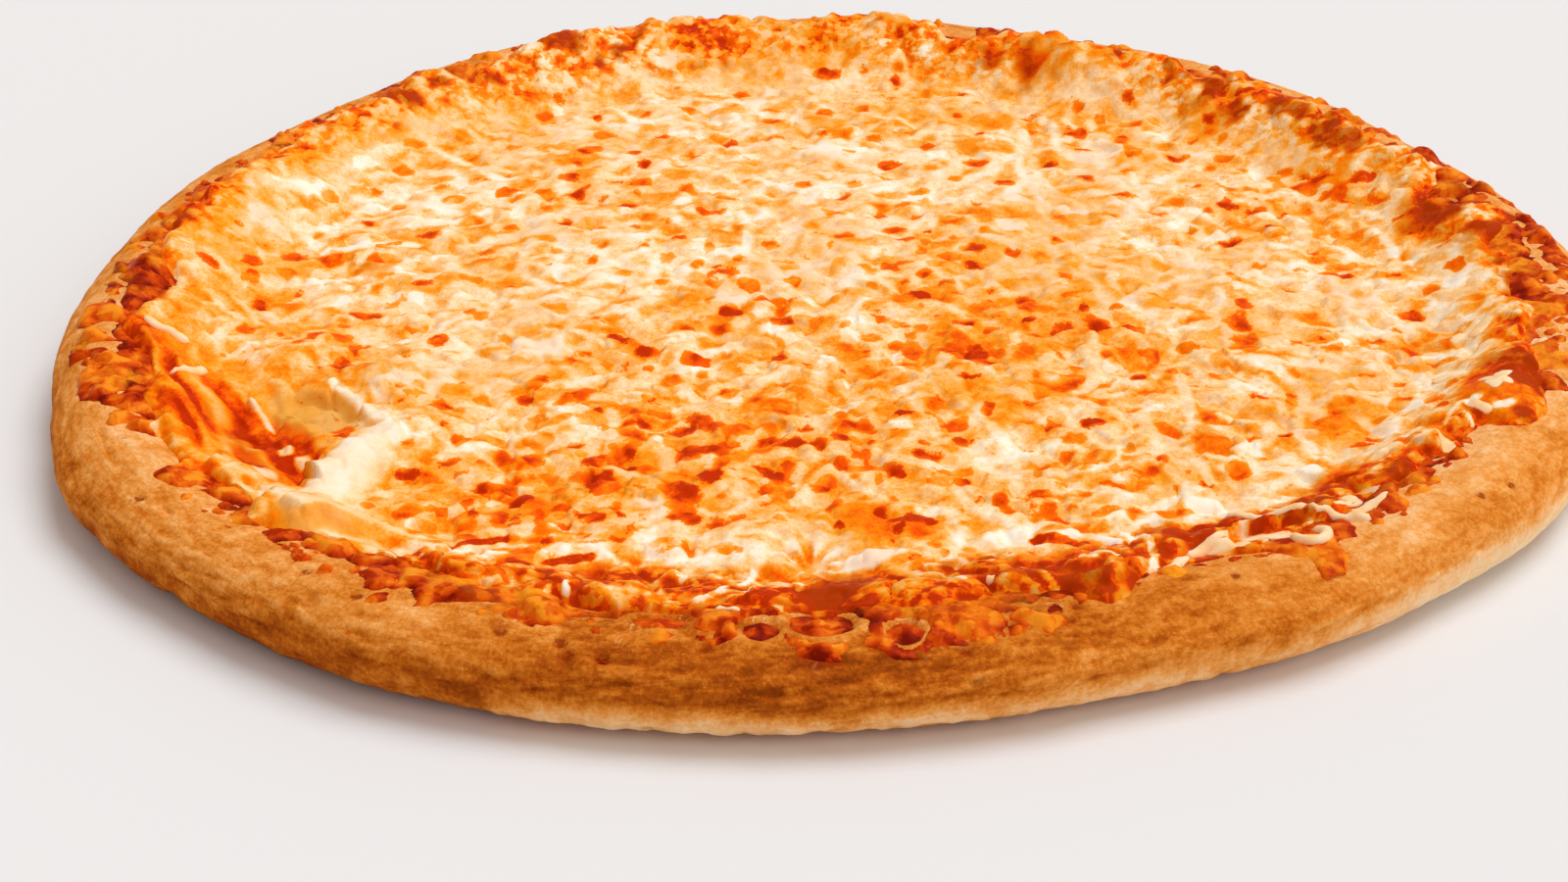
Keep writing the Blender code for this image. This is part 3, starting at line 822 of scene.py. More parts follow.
sauce_depth = sauce_depth + sauce_wet * (1.0 - 0.8 * pool) * (0.30 * soft(4.0, 25) + 0.22 * soft(2.0, 26))
cell_lift = 0.9 * (cell_tone - 0.3) * (1.0 - groove) - 0.5 * groove - 0.25 * small_groove
sauce_depth = sauce_depth + sauce_wet * cell_lift
sauce_depth = sauce_depth + 1.2 * swell(-160.0, -15.0, 4.5, 7.0)
sauce_top = field_dough + sauce_depth - 0.9 * ease(0.86, 0.82, field_share)

# Painted shade: the sauce is darker in the grooves between cells and where it lies low.
sauce_tone = 0.32 + 0.75 * cell_tone + 0.24 * soft(2.2, 30) - 0.55 * groove - 0.15 * small_groove
sauce_tone = sauce_tone - 0.25 * ease(0.5, -0.5, sauce_depth) + 0.25 * ease(0.0, 100.0, field_y)
sauce_burnt = ease(1.0, 2.4, soft(7.0, 32) + 0.5 * soft(2.4, 33) + 0.7 * (small_tone > 0.8))
dark_clusters = 0.8 * swell(70.0, -121.0, 6.0, 5.0) + 0.5 * swell(-160.0, -12.0, 4.0, 6.0)
sauce_burnt = np.maximum(sauce_burnt, dark_clusters)
sauce_gold = ease(0.5, 1.5, soft(9.0, 34) + 0.3 * soft(3.0, 35)) * ease(0.35, 0.7, cell_tone)
sauce_gold = sauce_gold + swell(18.0, -151.0, 11.0, 7.0) + swell(-42.0, -152.0, 9.0, 7.0)
sauce_gold = np.clip(sauce_gold, 0.0, 1.0) * (1.0 - pool)
sauce_burnt = sauce_burnt * (1.0 - sauce_gold) * (1.0 - pool)

sauce_rings = len(SAUCE_UNDER_SHARES) + SAUCE_RINGS + len(SAUCE_MIDDLE_SHARES)
sauce_mesh, ring, around = round_grid("sauce_layer", sauce_rings, SAUCE_AROUND)
top_shares = np.concatenate((np.linspace(SAUCE_OUTER, SAUCE_INNER, SAUCE_RINGS), SAUCE_MIDDLE_SHARES))
shares = np.concatenate((SAUCE_UNDER_SHARES, top_shares))[ring]
x = shares * outline(around) * np.cos(around) - MIDDLE_X
y = shares * outline(around) * np.sin(around) - MIDDLE_Y
under = crust_top(shares, around) - SAUCE_UNDER_DEPTH
z = np.where(ring >= len(SAUCE_UNDER_SHARES), sample(sauce_top, x, y), under)
set_spots(sauce_mesh, x, y, z)
set_values(sauce_mesh, "tone", sample(sauce_tone, x, y))
set_values(sauce_mesh, "burnt", sample(sauce_burnt, x, y))
set_values(sauce_mesh, "gold", sample(sauce_gold, x, y))


def sauce_material():
    """Wet sauce: brown-red in the grooves, partly as painted shade, orange on the lumps, yellow where oil ran
    into it.
    """
    material, tree, shader = new_material("sauce")
    pulp = mottle(tree, 420.0, 0.36, 0.64)
    specks = mottle(tree, 650.0, 0.36, 0.64)
    tone = plus(tree, read(tree, "tone"), pulp, 0.35, 0.5)
    tone = plus(tree, tone, mottle(tree, 300.0, 0.46, 0.54), 0.40, 0.6)
    color = ramp(
        tree,
        tone,
        (
            (-0.4, (0.18, 0.006, 0.001)),
            (0.0, (0.40, 0.022, 0.001)),
            (0.35, (0.62, 0.065, 0.002)),
            (0.7, (0.78, 0.145, 0.004)),
            (1.1, (0.90, 0.290, 0.015)),
        ),
    )
    gold = times(tree, read(tree, "gold"), plus(tree, 0.2, specks, 0.5))
    color = blend(tree, gold, color, (0.97, 0.40, 0.014))
    burnt = times(tree, read(tree, "burnt"), plus(tree, 0.35, specks, 0.5))
    color = blend(tree, burnt, color, (0.20, 0.014, 0.001))
    tree.links.new(color, shader.inputs["Base Color"])
    make_rough(tree, shader, pulp, 0.28, 0.48)
    shader.inputs["IOR"].default_value = 1.08
    grain = use_group(tree, GRAIN, Scale=600.0, Strength=0.35, Depth=0.0004)
    tree.links.new(grain.outputs["Normal"], shader.inputs["Normal"])
    return material


add_piece("sauce_layer", sauce_mesh, sauce_material(), "sauce")

# The cheese is grated mozzarella that melted into one uneven skin. White webs
# of it stand round small wells of orange oil and sauce, and at the front left
# it tore open over a bubble that burst, where glossy orange strands hang.
CHEESE_EDGE_RETREAT = 0.056
CHEESE_EDGE_FAR_GAIN = 0.036
CHEESE_EDGE_LEAST = 0.016
CHEESE_EDGE_WAVES = ((4, 0.006, 30.0), (9, 0.009, 160.0), (19, 0.010, 75.0), (29, 0.008, 220.0))
CHEESE_SOFT_EDGE = 0.055
CHEESE_TOP_LIMIT = 25.8
CHEESE_REACH = 0.965
CHEESE_SEAM_X = 3.75
CHEESE_SEAM_Y = -20.0
CHEESE_UNDER_STEPS = (1.0, 0.94, 0.92, 0.88, 0.75, 0.5)
SHRED_COUNT = 1900
TOP_SHRED_COUNT = 420
SHRED_FIELD_REACH = 172.0
WELL_TRIES = 15000
WHITE_TRIES = 6000
# Large swells of the cheese: middle, half width and height.
SWELLS = (
    (-104.0, -105.0, 7.5, 4.6),
    (-98.0, -93.0, 7.5, 4.6),
    (-89.0, -79.0, 9.0, 3.8),
    (-98.0, -57.0, 10.0, 4.4),
    (-120.0, -46.0, 11.0, 3.4),
    (-138.0, -76.0, 8.0, 2.6),
    (-102.0, -124.0, 10.0, 2.8),
    (-113.0, 13.0, 8.0, 0.9),
    (61.0, 137.0, 12.0, 3.6),
    (69.0, 122.0, 10.0, 2.6),
    (7.0, -126.0, 8.0, 1.2),
    (-19.0, -126.0, 8.0, 1.0),
    (43.0, -124.7, 6.0, 1.0),
    (137.0, -70.0, 8.0, 2.2),
)
# Where the browned band begins: angle in degrees and share of the outline.
BAND_STARTS = (
    (0.0, 0.83),
    (30.0, 0.82),
    (60.0, 0.80),
    (120.0, 0.80),
    (150.0, 0.83),
    (180.0, 0.86),
    (200.0, 0.84),
    (215.0, 0.86),
    (230.0, 0.89),
    (237.0, 0.86),
    (243.0, 0.81),
    (250.0, 0.76),
    (262.0, 0.745),
    (275.0, 0.745),
    (288.0, 0.75),
    (298.0, 0.755),
    (310.0, 0.785),
    (325.0, 0.81),
    (340.0, 0.83),
    (360.0, 0.83),
)
# Hollows in the cheese: middle, half width and depth.
HOLLOWS = (
    (-6.0, -131.0, 4.0, 2.2),
    (51.0, 134.0, 4.0, 3.0),
)
# Ovals below hold the middle, the half widths and, where turned, the degrees. Bars hold both
# ends and the half width, and lumps and bits hold the middle and the half width.
# The pucker at the front, the white flap right of it and the dark flakes round it.
PUCKER_X = -6.0
PUCKER_Y = -131.0
PUCKER_REACH = 11.0
PUCKER_FOLDS = 9.0
PUCKER_CALM = (-6.0, -128.0, 11.0, 7.0)
PUCKER_SLIT = (-7.0, -129.0, 2.0, 4.0)
FLAP = (5.5, -131.5, 7.5, 4.0, 12.0)
DARK_FLAKES = (
    (38.0, -122.5, 46.0, -125.0, 2.0),
    (10.0, -114.5, 17.0, -116.0, 1.6),
    (64.0, -122.0, 76.0, -118.0, 2.6),
    (-56.0, -134.0, -49.0, -131.0, 1.6),
    (-75.0, -128.0, -66.0, -124.0, 1.6),
)
# The torn place at the left.
TEAR = (-130.0, -77.0, 31.0, 12.5, -57.0)
PIT_MIDDLE = (-118.5, -86.5, -57.0)
PIT_HALVES = (18.0, 8.5)
PIT_LUMPS = ((-115.7, -85.4, 2.0), (-111.4, -89.7, 2.2), (-107.7, -94.5, 2.0), (-117.2, -100.0, 3.2))
VALLEY = (-127.5, -81.0, -120.0, -96.0, 3.2)
HOLLOW_MIDDLE = (-111.0, -71.0, -35.0)
HOLLOW_HALVES = (11.0, 6.5)
POCKET = (-105.0, -78.5, 3.2, 4.2, 30.0)
SLIT = (-126.5, -65.5, -121.0, -74.5, 0.9)
RIDGE_BARS = ((-110.0, -60.0, -97.5, -75.0, 1.6), (-97.5, -75.0, -92.0, -88.0, 1.8))
LIP = (-96.0, -86.0, -103.0, -112.0, 4.6)
SHEET = (-101.0, -127.0, 9.0, 9.0)
# The blister at the right, with bits of cheese on it, the bubble at the far right, and the
# pale and brown scars at the left.
BLISTER = (137.0, -71.0, 8.0, 12.0, -15.0)
BLISTER_SIDE = 120.0
BLISTER_DARK = (138.0, -62.0, 8.0, 6.0)
BLISTER_CHEESE = (137.0, -72.0, 9.0, 13.0)
BLISTER_BITS = ((131.0, -75.0, 2.4), (136.5, -79.0, 2.8), (132.0, -84.0, 2.0))
BUBBLE = (62.0, 138.0, 14.0, 9.0)
BUBBLE_WHITE = (69.0, 121.0, 13.0, 6.5)
BUBBLE_BROWN = (57.0, 141.0, 8.0, 6.0)
BUBBLE_CREASE = (52.0, 141.0, 51.0, 128.0, 2.2)
PALE_SCAR = (-124.0, 15.0, -104.0, 20.0, 2.6)
BROWN_SCAR = (-112.5, 9.0, 6.0, 5.0)
# How far out a tile counts as reaching where the middle of its underside is placed.
TILE_REACH_X = 150.0
TILE_REACH_Y = 140.0


def cheese_edge(angle):
    """The cheese ends well inside the sauce at the near side and close to its edge at the far side."""
    far = 0.5 + 0.5 * np.sin(angle)
    retreat = CHEESE_EDGE_RETREAT - CHEESE_EDGE_FAR_GAIN * far
    jagged = waves(CHEESE_EDGE_WAVES, angle) * (1.0 - 0.55 * far)
    return sauce_edge(angle) - np.maximum(CHEESE_EDGE_LEAST, retreat - jagged)


def window(x, y, margin):
    """The rows and columns of the field within margin mm of a spot."""
    columns = slice(*[max(0, int((x + side * margin + FIELD_HALF) / FIELD_STEP)) for side in (-1, 1)])
    rows = slice(*[max(0, int((y + side * margin + FIELD_HALF) / FIELD_STEP)) for side in (-1, 1)])
    return rows, columns


def lay_shreds(count, seed, lengths, widths, heights):
    """Bent shreds laid at random over the field, as the highest of them at each cell."""
    draw = np.random.default_rng(seed)
    field = np.zeros(field_shape)
    for _ in range(count):
        reach = SHRED_FIELD_REACH * math.sqrt(draw.random())
        angle = draw.uniform(-math.pi, math.pi)
        at_x = reach * math.cos(angle) - MIDDLE_X
        at_y = reach * math.sin(angle) - MIDDLE_Y
        turn = draw.uniform(0.0, math.pi)
        half = 0.5 * draw.uniform(*lengths)
        wide = draw.uniform(*widths)
        tall = draw.uniform(*heights)
        bend = draw.uniform(-0.035, 0.035)
        here = window(at_x, at_y, half + 3.0 * wide)
        gap_x = field_x[here] - at_x
        gap_y = field_y[here] - at_y
        along = gap_x * math.cos(turn) + gap_y * math.sin(turn)
        across = gap_y * math.cos(turn) - gap_x * math.sin(turn) - bend * along * along
        beyond = np.maximum(np.abs(along) - half, 0.0)
        bar = tall * np.exp(-(((across * across + beyond * beyond) / (wide * wide)) ** 2.2))
        field[here] = np.maximum(field[here], bar)
    return field


def scatter(tries, seed, gap, reach):
    """Random spots on the topping that keep apart by the gap field's mm."""
    draw = np.random.default_rng(seed)
    kept = []
    for _ in range(tries):
        x, y = draw.uniform(-RADIUS, RADIUS, 2)
        share, angle = find(x, y)
        if share > reach:
            continue
        apart = float(sample(gap, np.array([x]), np.array([y]))[0])
        if kept and np.hypot(np.array(kept)[:, 0] - x, np.array(kept)[:, 1] - y).min() < apart:
            continue
        kept.append((x, y))
    return kept


def lay_blobs(spots, seed, sizes, squash, ragged_by):
    """Ragged ovals on the spots: how far inside one each cell lies in mm, and that one's random tone."""
    draw = np.random.default_rng(seed)
    depth = np.full(field_shape, -4.0)
    tone = np.zeros(field_shape)
    for x, y in spots:
        long = draw.uniform(*sizes)
        wide = long * draw.uniform(*squash)
        turn = draw.uniform(0.0, math.pi)
        own = draw.random()
        here = window(x, y, 3.0 * long + 3.0)
        along = (field_x[here] - x) * math.cos(turn) + (field_y[here] - y) * math.sin(turn)
        across = (field_y[here] - y) * math.cos(turn) - (field_x[here] - x) * math.sin(turn)
        value = math.sqrt(long * wide) * (1.0 - np.hypot(along / long, across / wide))
        deeper = value > depth[here]
        depth[here] = np.where(deeper, value, depth[here])
        tone[here] = np.where(deeper, own, tone[here])
    return depth + ragged_by * (0.7 * soft(2.8, seed + 500) + 0.35 * soft(1.5, seed + 501)), tone


def lay_over(under, share, over):
    """One value laid over another by a share from 0 to 1."""
    return under * (1.0 - share) + over * share


def streak(x0, y0, x1, y1, wide):
    """A soft bar of height 1 from one spot to another."""
    length = math.hypot(x1 - x0, y1 - y0)
    along = ((field_x - x0) * (x1 - x0) + (field_y - y0) * (y1 - y0)) / length
    across = ((field_x - x0) * (y1 - y0) - (field_y - y0) * (x1 - x0)) / length
    beyond = np.maximum(np.abs(along - 0.5 * length) - 0.5 * length, 0.0)
    return np.exp(-((across * across + beyond * beyond) / (wide * wide)))


def rotated(x, y, degrees):
    """How far the field's cells lie along and across a direction from a spot."""
    cos, sin = math.cos(math.radians(degrees)), math.sin(math.radians(degrees))
    return (field_x - x) * cos + (field_y - y) * sin, (field_y - y) * cos - (field_x - x) * sin


near_side = ease(20.0, -110.0, field_y)
far_middle = swell(25.0, 45.0, 95.0, 70.0)
band_start = np.interp(np.degrees(field_angle) % 360.0, *zip(*BAND_STARTS))
band = ease(-0.02, 0.05, field_share - band_start + 0.012 * soft(8.0, 50))

# Thickness over the sauce, from -3 for none to 2 for thick white cheese, sets colour and relief.
strips = lay_shreds(SHRED_COUNT, 51, (12.0, 30.0), (1.3, 2.4), (0.25, 1.0))
ridges = lay_shreds(TOP_SHRED_COUNT, 52, (8.0, 22.0), (0.8, 1.3), (0.4, 1.0))
well_gap = 8.8 - 3.8 * near_side + 1.6 * far_middle + 1.8 * soft(30.0, 53)
well_spots = scatter(WELL_TRIES, 54, well_gap, 0.93)
wells, well_tone = lay_blobs(well_spots, 55, (0.9, 3.0), (0.4, 0.95), 1.5)
white_spots = scatter(WHITE_TRIES, 57, 14.0 + 3.5 * soft(30.0, 56), 0.90)
whites = lay_blobs(white_spots, 58, (1.8, 4.6), (0.35, 0.8), 1.2)[0]
thick = -1.0 + 1.85 * strips + 0.60 * ridges + 0.25 * far_middle - 0.25 * near_side
thick = thick + 0.26 * soft(5.0, 59) + 0.26 * soft(2.0, 48) + 0.25 * soft(20.0, 60)
wells = wells - 5.0 * band
whites = whites - 5.0 * band
well_depth = 1.0 + 1.3 * well_tone

# The browned band inside the edge, in cells with a few pale lumps; the grooves between the cells are painted
# dark as painted shade.
band_thick = -1.8 + 1.3 * (cell_tone - 0.4) - 1.0 * groove
band_thick = band_thick + 0.6 * soft(1.1, 45) + 0.6 * soft(2.4, 47) + 0.3 * soft(5.0, 46)
band_thick = band_thick + 0.7 * ease(0.0, 100.0, field_y) + 1.6 * ease(0.9, 1.4, soft(5.0, 49))
band_thick = band_thick + 3.0 * ease(0.45, 0.75, ridges) * near_side
thick = thick + 0.85 * band * (band_thick - np.minimum(thick, 0.8))

# White lobes hang over the near edge of the band.
lobes = np.exp(-(((field_share - band_start + 0.03) / 0.028) ** 2)) * near_side
thick = thick + 1.5 * lobes * ease(-0.4, 0.5, soft(2.2, 44))

# How thick the sheet is in mm: thin at its ragged edge, and none over the burst bubbles and
# the pools of sauce, but for the pool under the blister at the right.
cheese_in = inside_edge(cheese_edge, field_x, field_y) + 2.4 * soft(7.0, 61) + 1.2 * soft(3.0, 62)
cheese_in = np.maximum(cheese_in, 9.0 * swell(*BLISTER_CHEESE) - 3.0)
for x, y, wide, deep in CAVITIES:
    cheese_in = np.minimum(cheese_in, 5.0 * (away(x, y, wide, deep) - 1.6))
cheese_in = np.where(field_x < BLISTER_SIDE, lay_over(cheese_in, pool, -4.0), cheese_in)
edge_share = (1.0 - field_share / cheese_edge(field_angle)) / CHEESE_SOFT_EDGE
cheese_depth = -2.2 + 3.6 * ease(-4.5, 4.5, cheese_in) + 1.8 * np.sqrt(np.clip(edge_share, 0.0, 1.0))
lumpy = thick + 1.2 * ease(-0.3, 0.5, whites) - well_depth * ease(-0.7, 0.8, wells)
cheese_depth = cheese_depth + 0.07 * (np.clip(lumpy, -2.2, 2.2) - 0.3)
cheese_depth = cheese_depth + 0.16 * soft(9.0, 63) + 0.16 * ridges
cheese_depth = cheese_depth + 0.5 * band * (1.0 - groove) * (cell_tone - 0.2)
for x, y, reach, height in SWELLS:
    cheese_depth = cheese_depth + height * swell(x, y, reach)
for x, y, reach, depth in HOLLOWS:
    cheese_depth = cheese_depth - depth * swell(x, y, reach)

# The pucker at the front, with folds that run to its middle, and the flap and flakes near it.
pucker_x, pucker_y = field_x - PUCKER_X, field_y - PUCKER_Y
pucker_far = np.hypot(pucker_x, pucker_y)
pucker_folds = np.cos(PUCKER_FOLDS * np.arctan2(pucker_y, pucker_x)) * ease(1.0, 4.0, pucker_far)
pucker_folds = pucker_folds * np.exp(-((pucker_far / PUCKER_REACH) ** 2))
cheese_depth = cheese_depth + 0.55 * pucker_folds
calm = swell(*PUCKER_CALM)
thick = lay_over(thick, calm, 0.9 + 1.5 * pucker_folds - 2.0 * swell(*PUCKER_SLIT))
flap = ease(0.42, 0.55, swell(*FLAP) + 0.05 * soft(1.5, 43))
thick = lay_over(thick, flap, 2.2)
cheese_depth = cheese_depth + 0.7 * flap
for bar in DARK_FLAKES:
    thick = lay_over(thick, ease(0.4, 0.6, streak(*bar) + 0.08 * soft(1.5, 42)), -3.2)

# The torn place: orange strands hang from its upper left into the pit, white lumps lie in it,
# a glazed hollow with a red pocket lies right of it, then a smooth white lip. The pit's floor and
# the valley in it are painted dark as painted shade.
torn = np.clip(swell(*TEAR) * 1.6, 0.0, 1.0)
pit_along, pit_across = rotated(*PIT_MIDDLE)
bent = pit_across + 1.2 * soft(10.0, 64)
strands = 0.8 * sample(soft(2.0, 69), 0.16 * pit_along, bent)
strands = strands + 0.45 * sample(soft(1.0, 70), 0.14 * pit_along, bent)
strands = np.clip(1.2 * strands, -2.0, 2.0) * torn
pit_in = 1.0 - np.hypot(pit_along / PIT_HALVES[0], pit_across / PIT_HALVES[1]) + 0.05 * soft(3.0, 78)
pit_share = ease(np.where(pit_across > 0.0, -0.12, -0.8), 0.3, pit_in)
hollow_along, hollow_across = rotated(*HOLLOW_MIDDLE)
hollow_in = 1.0 - np.hypot(hollow_along / HOLLOW_HALVES[0], hollow_across / HOLLOW_HALVES[1])
hollow_share = ease(-0.15, 0.45, hollow_in)
valley = streak(*VALLEY)
thick = lay_over(thick, torn, -1.4 + 1.15 * strands + 0.3 * soft(3.0, 70))
# The hollow's glaze: its darker yellow-brown is partly painted shade of the sag.
glaze_and_shade = ease(-0.5, 0.1, hollow_in)
thick = lay_over(thick, glaze_and_shade, -0.2 + 0.5 * soft(3.0, 71))
# Painted shade: the pit's floor and its valley are painted dark.
thick = lay_over(thick, pit_share, -2.4 + 1.1 * strands - 1.4 * valley + 0.6 * soft(2.5, 79))
cheese_depth = cheese_depth + 0.80 * strands * (1.0 - pit_share)
cheese_depth = lay_over(cheese_depth, hollow_share, 1.7 + 0.15 * soft(3.0, 71))
cheese_depth = lay_over(cheese_depth, pit_share, 0.8 + 0.35 * strands)
lip = np.clip(streak(*LIP) * 1.5, 0.0, 1.0)
thick = lay_over(thick, lip, 1.4 + 0.25 * soft(5.0, 72))
sheet = np.clip(swell(*SHEET) * 1.4, 0.0, 1.0)
thick = lay_over(thick, 0.8 * sheet, 0.9 + 0.35 * soft(5.0, 73))
for x, y, reach in PIT_LUMPS:
    lump = swell(x, y, reach, 1.4 * reach, 20.0)
    thick = lay_over(thick, ease(0.3, 0.7, lump), 1.0)
    cheese_depth = cheese_depth + 1.3 * lump
slit = streak(*SLIT)
thick = lay_over(thick, ease(0.3, 0.7, slit), 2.2)
cheese_depth = cheese_depth + 0.7 * slit
ridge = sum(streak(*bar) for bar in RIDGE_BARS)
thick = lay_over(thick, ease(0.3, 0.8, ridge), 1.5)
cheese_depth = cheese_depth + 0.8 * np.clip(ridge, 0.0, 1.0)
pocket = ease(0.35, 0.65, swell(*POCKET))
thick = lay_over(thick, pocket, -2.3)

# The blister of sauce at the right: dark above, orange below, with bits of cheese on it.
blister = ease(0.25, 0.5, swell(*BLISTER) + 0.06 * soft(3.0, 74))
thick = lay_over(thick, blister, -1.35 - 1.5 * swell(*BLISTER_DARK) + 0.15 * soft(4.0, 75))
for x, y, reach in BLISTER_BITS:
    thick = lay_over(thick, ease(0.3, 0.7, swell(x, y, reach, 1.6)), 1.6)

# The bubble at the far right, and the pale scar at the left.
bubble = np.clip(swell(*BUBBLE) * 1.5, 0.0, 1.0)
thick = lay_over(thick, bubble, -1.0 + 0.6 * soft(1.8, 76))
thick = lay_over(thick, ease(0.4, 0.8, swell(*BUBBLE_WHITE)), 1.0 + 0.2 * soft(6.0, 77))
thick = lay_over(thick, ease(0.4, 0.8, streak(*PALE_SCAR)), 1.5)

# Wells and white spots keep off what was laid over.
calm = np.clip(calm + torn + glaze_and_shade + pit_share + lip + sheet + blister + bubble, 0.0, 1.0)
smooth = np.clip(lip + sheet + 0.6 * glaze_and_shade, 0.0, 1.0)
wells = wells - 6.0 * calm
whites = whites - 6.0 * calm

cheese_lay = field_dough + np.clip(sauce_depth, 0.0, 2.2)
least_depth = np.maximum(cheese_depth, 0.5 + 0.35 * strands)
cheese_depth = np.where(field_share < 0.87, least_depth, cheese_depth)
cheese_top = np.minimum(cheese_lay + cheese_depth, CHEESE_TOP_LIMIT)

# Painted warm shade: the far slope, which is turned away from the key light, holds no near-white cheese,
# and the steep sides of lumps are painted more orange than the tops, so that their shade looks warm.
far_slope = ease(0.68, 0.78, field_share) * ease(20.0, 90.0, field_y)
thick = thick - 0.5 * far_slope * np.clip(thick - 0.2, 0.0, 2.0)
steep = np.hypot(*np.gradient(cheese_depth, FIELD_STEP))
thick = thick - 1.0 * ease(0.35, 1.1, steep) * (1.0 - 0.5 * lip) * (1.0 - 0.6 * band)

# Darkened places: browning in patches of the band and at the left scar, a darker line along the bubble's
# crease, and painted shade in the band's grooves and in the pit.
browned_and_shaded = ease(1.2, 2.4, soft(5.0, 65) + 0.5 * soft(2.0, 66) + 0.8 * band) * band
# Painted shade in the grooves between the band's cells.
band_groove_shade = band * near_side * (0.04 + 0.50 * groove + 0.40 * small_groove)
browned_and_shaded = np.maximum(browned_and_shaded, band_groove_shade * ease(0.4, -0.6, thick))
browned_and_shaded = np.maximum(browned_and_shaded, 0.7 * streak(*BUBBLE_CREASE) + 0.12 * swell(*BUBBLE_BROWN))
browned_and_shaded = np.maximum(browned_and_shaded, 0.5 * swell(*BROWN_SCAR) * ease(-0.5, 1.0, soft(2.0, 67)))
browned_and_shaded = browned_and_shaded * (1.0 - lip) * (1.0 - sheet)
# Painted shade in the pit.
browned_and_shaded = np.maximum(browned_and_shaded, pit_share * (0.15 + 0.45 * valley))

# Golden oil, and the glaze of the hollow, which is partly painted shade.
cheese_gold = 0.35 * torn * (1.0 - 0.8 * pit_share) + (0.30 + 0.15 * band) * ease(0.1, 1.1, soft(12.0, 68))
cheese_gold = np.clip(cheese_gold, 0.0, 1.0) * (1.0 - blister) * (1.0 - 0.8 * sheet)
cheese_glaze_and_shade = 0.9 * glaze_and_shade * (1.0 - pit_share) * (1.0 - pocket) * (1.0 - ease(0.3, 0.8, ridge))


def cheese_tile(name, cell, low_x, low_y, high_x, high_y):
    """One part of the sheet as a closed body, cut from a grid along straight seams."""
    count = int(2.0 * FIELD_HALF / cell)
    shape = bmesh.new()
    bmesh.ops.create_grid(shape, x_segments=count, y_segments=count, size=0.5 * count * cell)
    shape.verts.ensure_lookup_table()
    spots = np.array([vertex.co[:2] for vertex in shape.verts])
    share, angle = find(spots[:, 0], spots[:, 1])
    x, y = spots.T
    inside = (x > low_x - 0.01) & (x < high_x + 0.01) & (y > low_y - cell) & (y < high_y + cell)
    drop = (share > CHEESE_REACH) | ~inside
    bmesh.ops.delete(shape, geom=[shape.verts[index] for index in np.flatnonzero(drop)], context="VERTS")
    loose = [vertex for vertex in shape.verts if len(vertex.link_faces) == 0]
    bmesh.ops.delete(shape, geom=loose, context="VERTS")
    rim = [edge for edge in shape.edges if len(edge.link_faces) == 1]
    for edge in rim:
        edge.smooth = False
    middle_x = 0.5 * (max(low_x, -TILE_REACH_X) + min(high_x, TILE_REACH_X))
    middle_y = 0.5 * (max(low_y, -TILE_REACH_Y) + min(high_y, TILE_REACH_Y))
    middle = Vector((middle_x, middle_y, 0.0))
    for shrink in CHEESE_UNDER_STEPS:
        made = bmesh.ops.extrude_edge_only(shape, edges=rim)["geom"]
        rim = [item for item in made if isinstance(item, bmesh.types.BMEdge)]
        last_loop = [item for item in made if isinstance(item, bmesh.types.BMVert)]
        for vertex in last_loop:
            vertex.co = middle + (vertex.co - middle) * shrink
            vertex.co.z = -1.0
    bmesh.ops.pointmerge(shape, verts=last_loop, merge_co=(middle.x, middle.y, -1.0))
    bmesh.ops.recalc_face_normals(shape, faces=shape.faces[:])
    mesh = to_mesh(shape, name)
    x, y, side = read_spots(mesh)
    share, angle = find(x, y)
    under = np.minimum(crust_top(share, angle) - 0.6, sample(cheese_top, x, y) - 0.3)
    z = np.where(side < -0.5, under, sample(cheese_top, x, y))
    set_spots(mesh, x, y, z)
    for label, values in (
        ("thick", thick),
        ("well", wells),
        ("well_depth", well_depth),
        ("white", whites),
        ("band", band * (1.0 - calm)),
        ("smooth", smooth),
        ("scorch_and_shade", browned_and_shaded),
        ("gold", cheese_gold),
        ("glaze_and_shade", cheese_glaze_and_shade),
    ):
        set_values(mesh, label, sample(values, x, y))
    return mesh


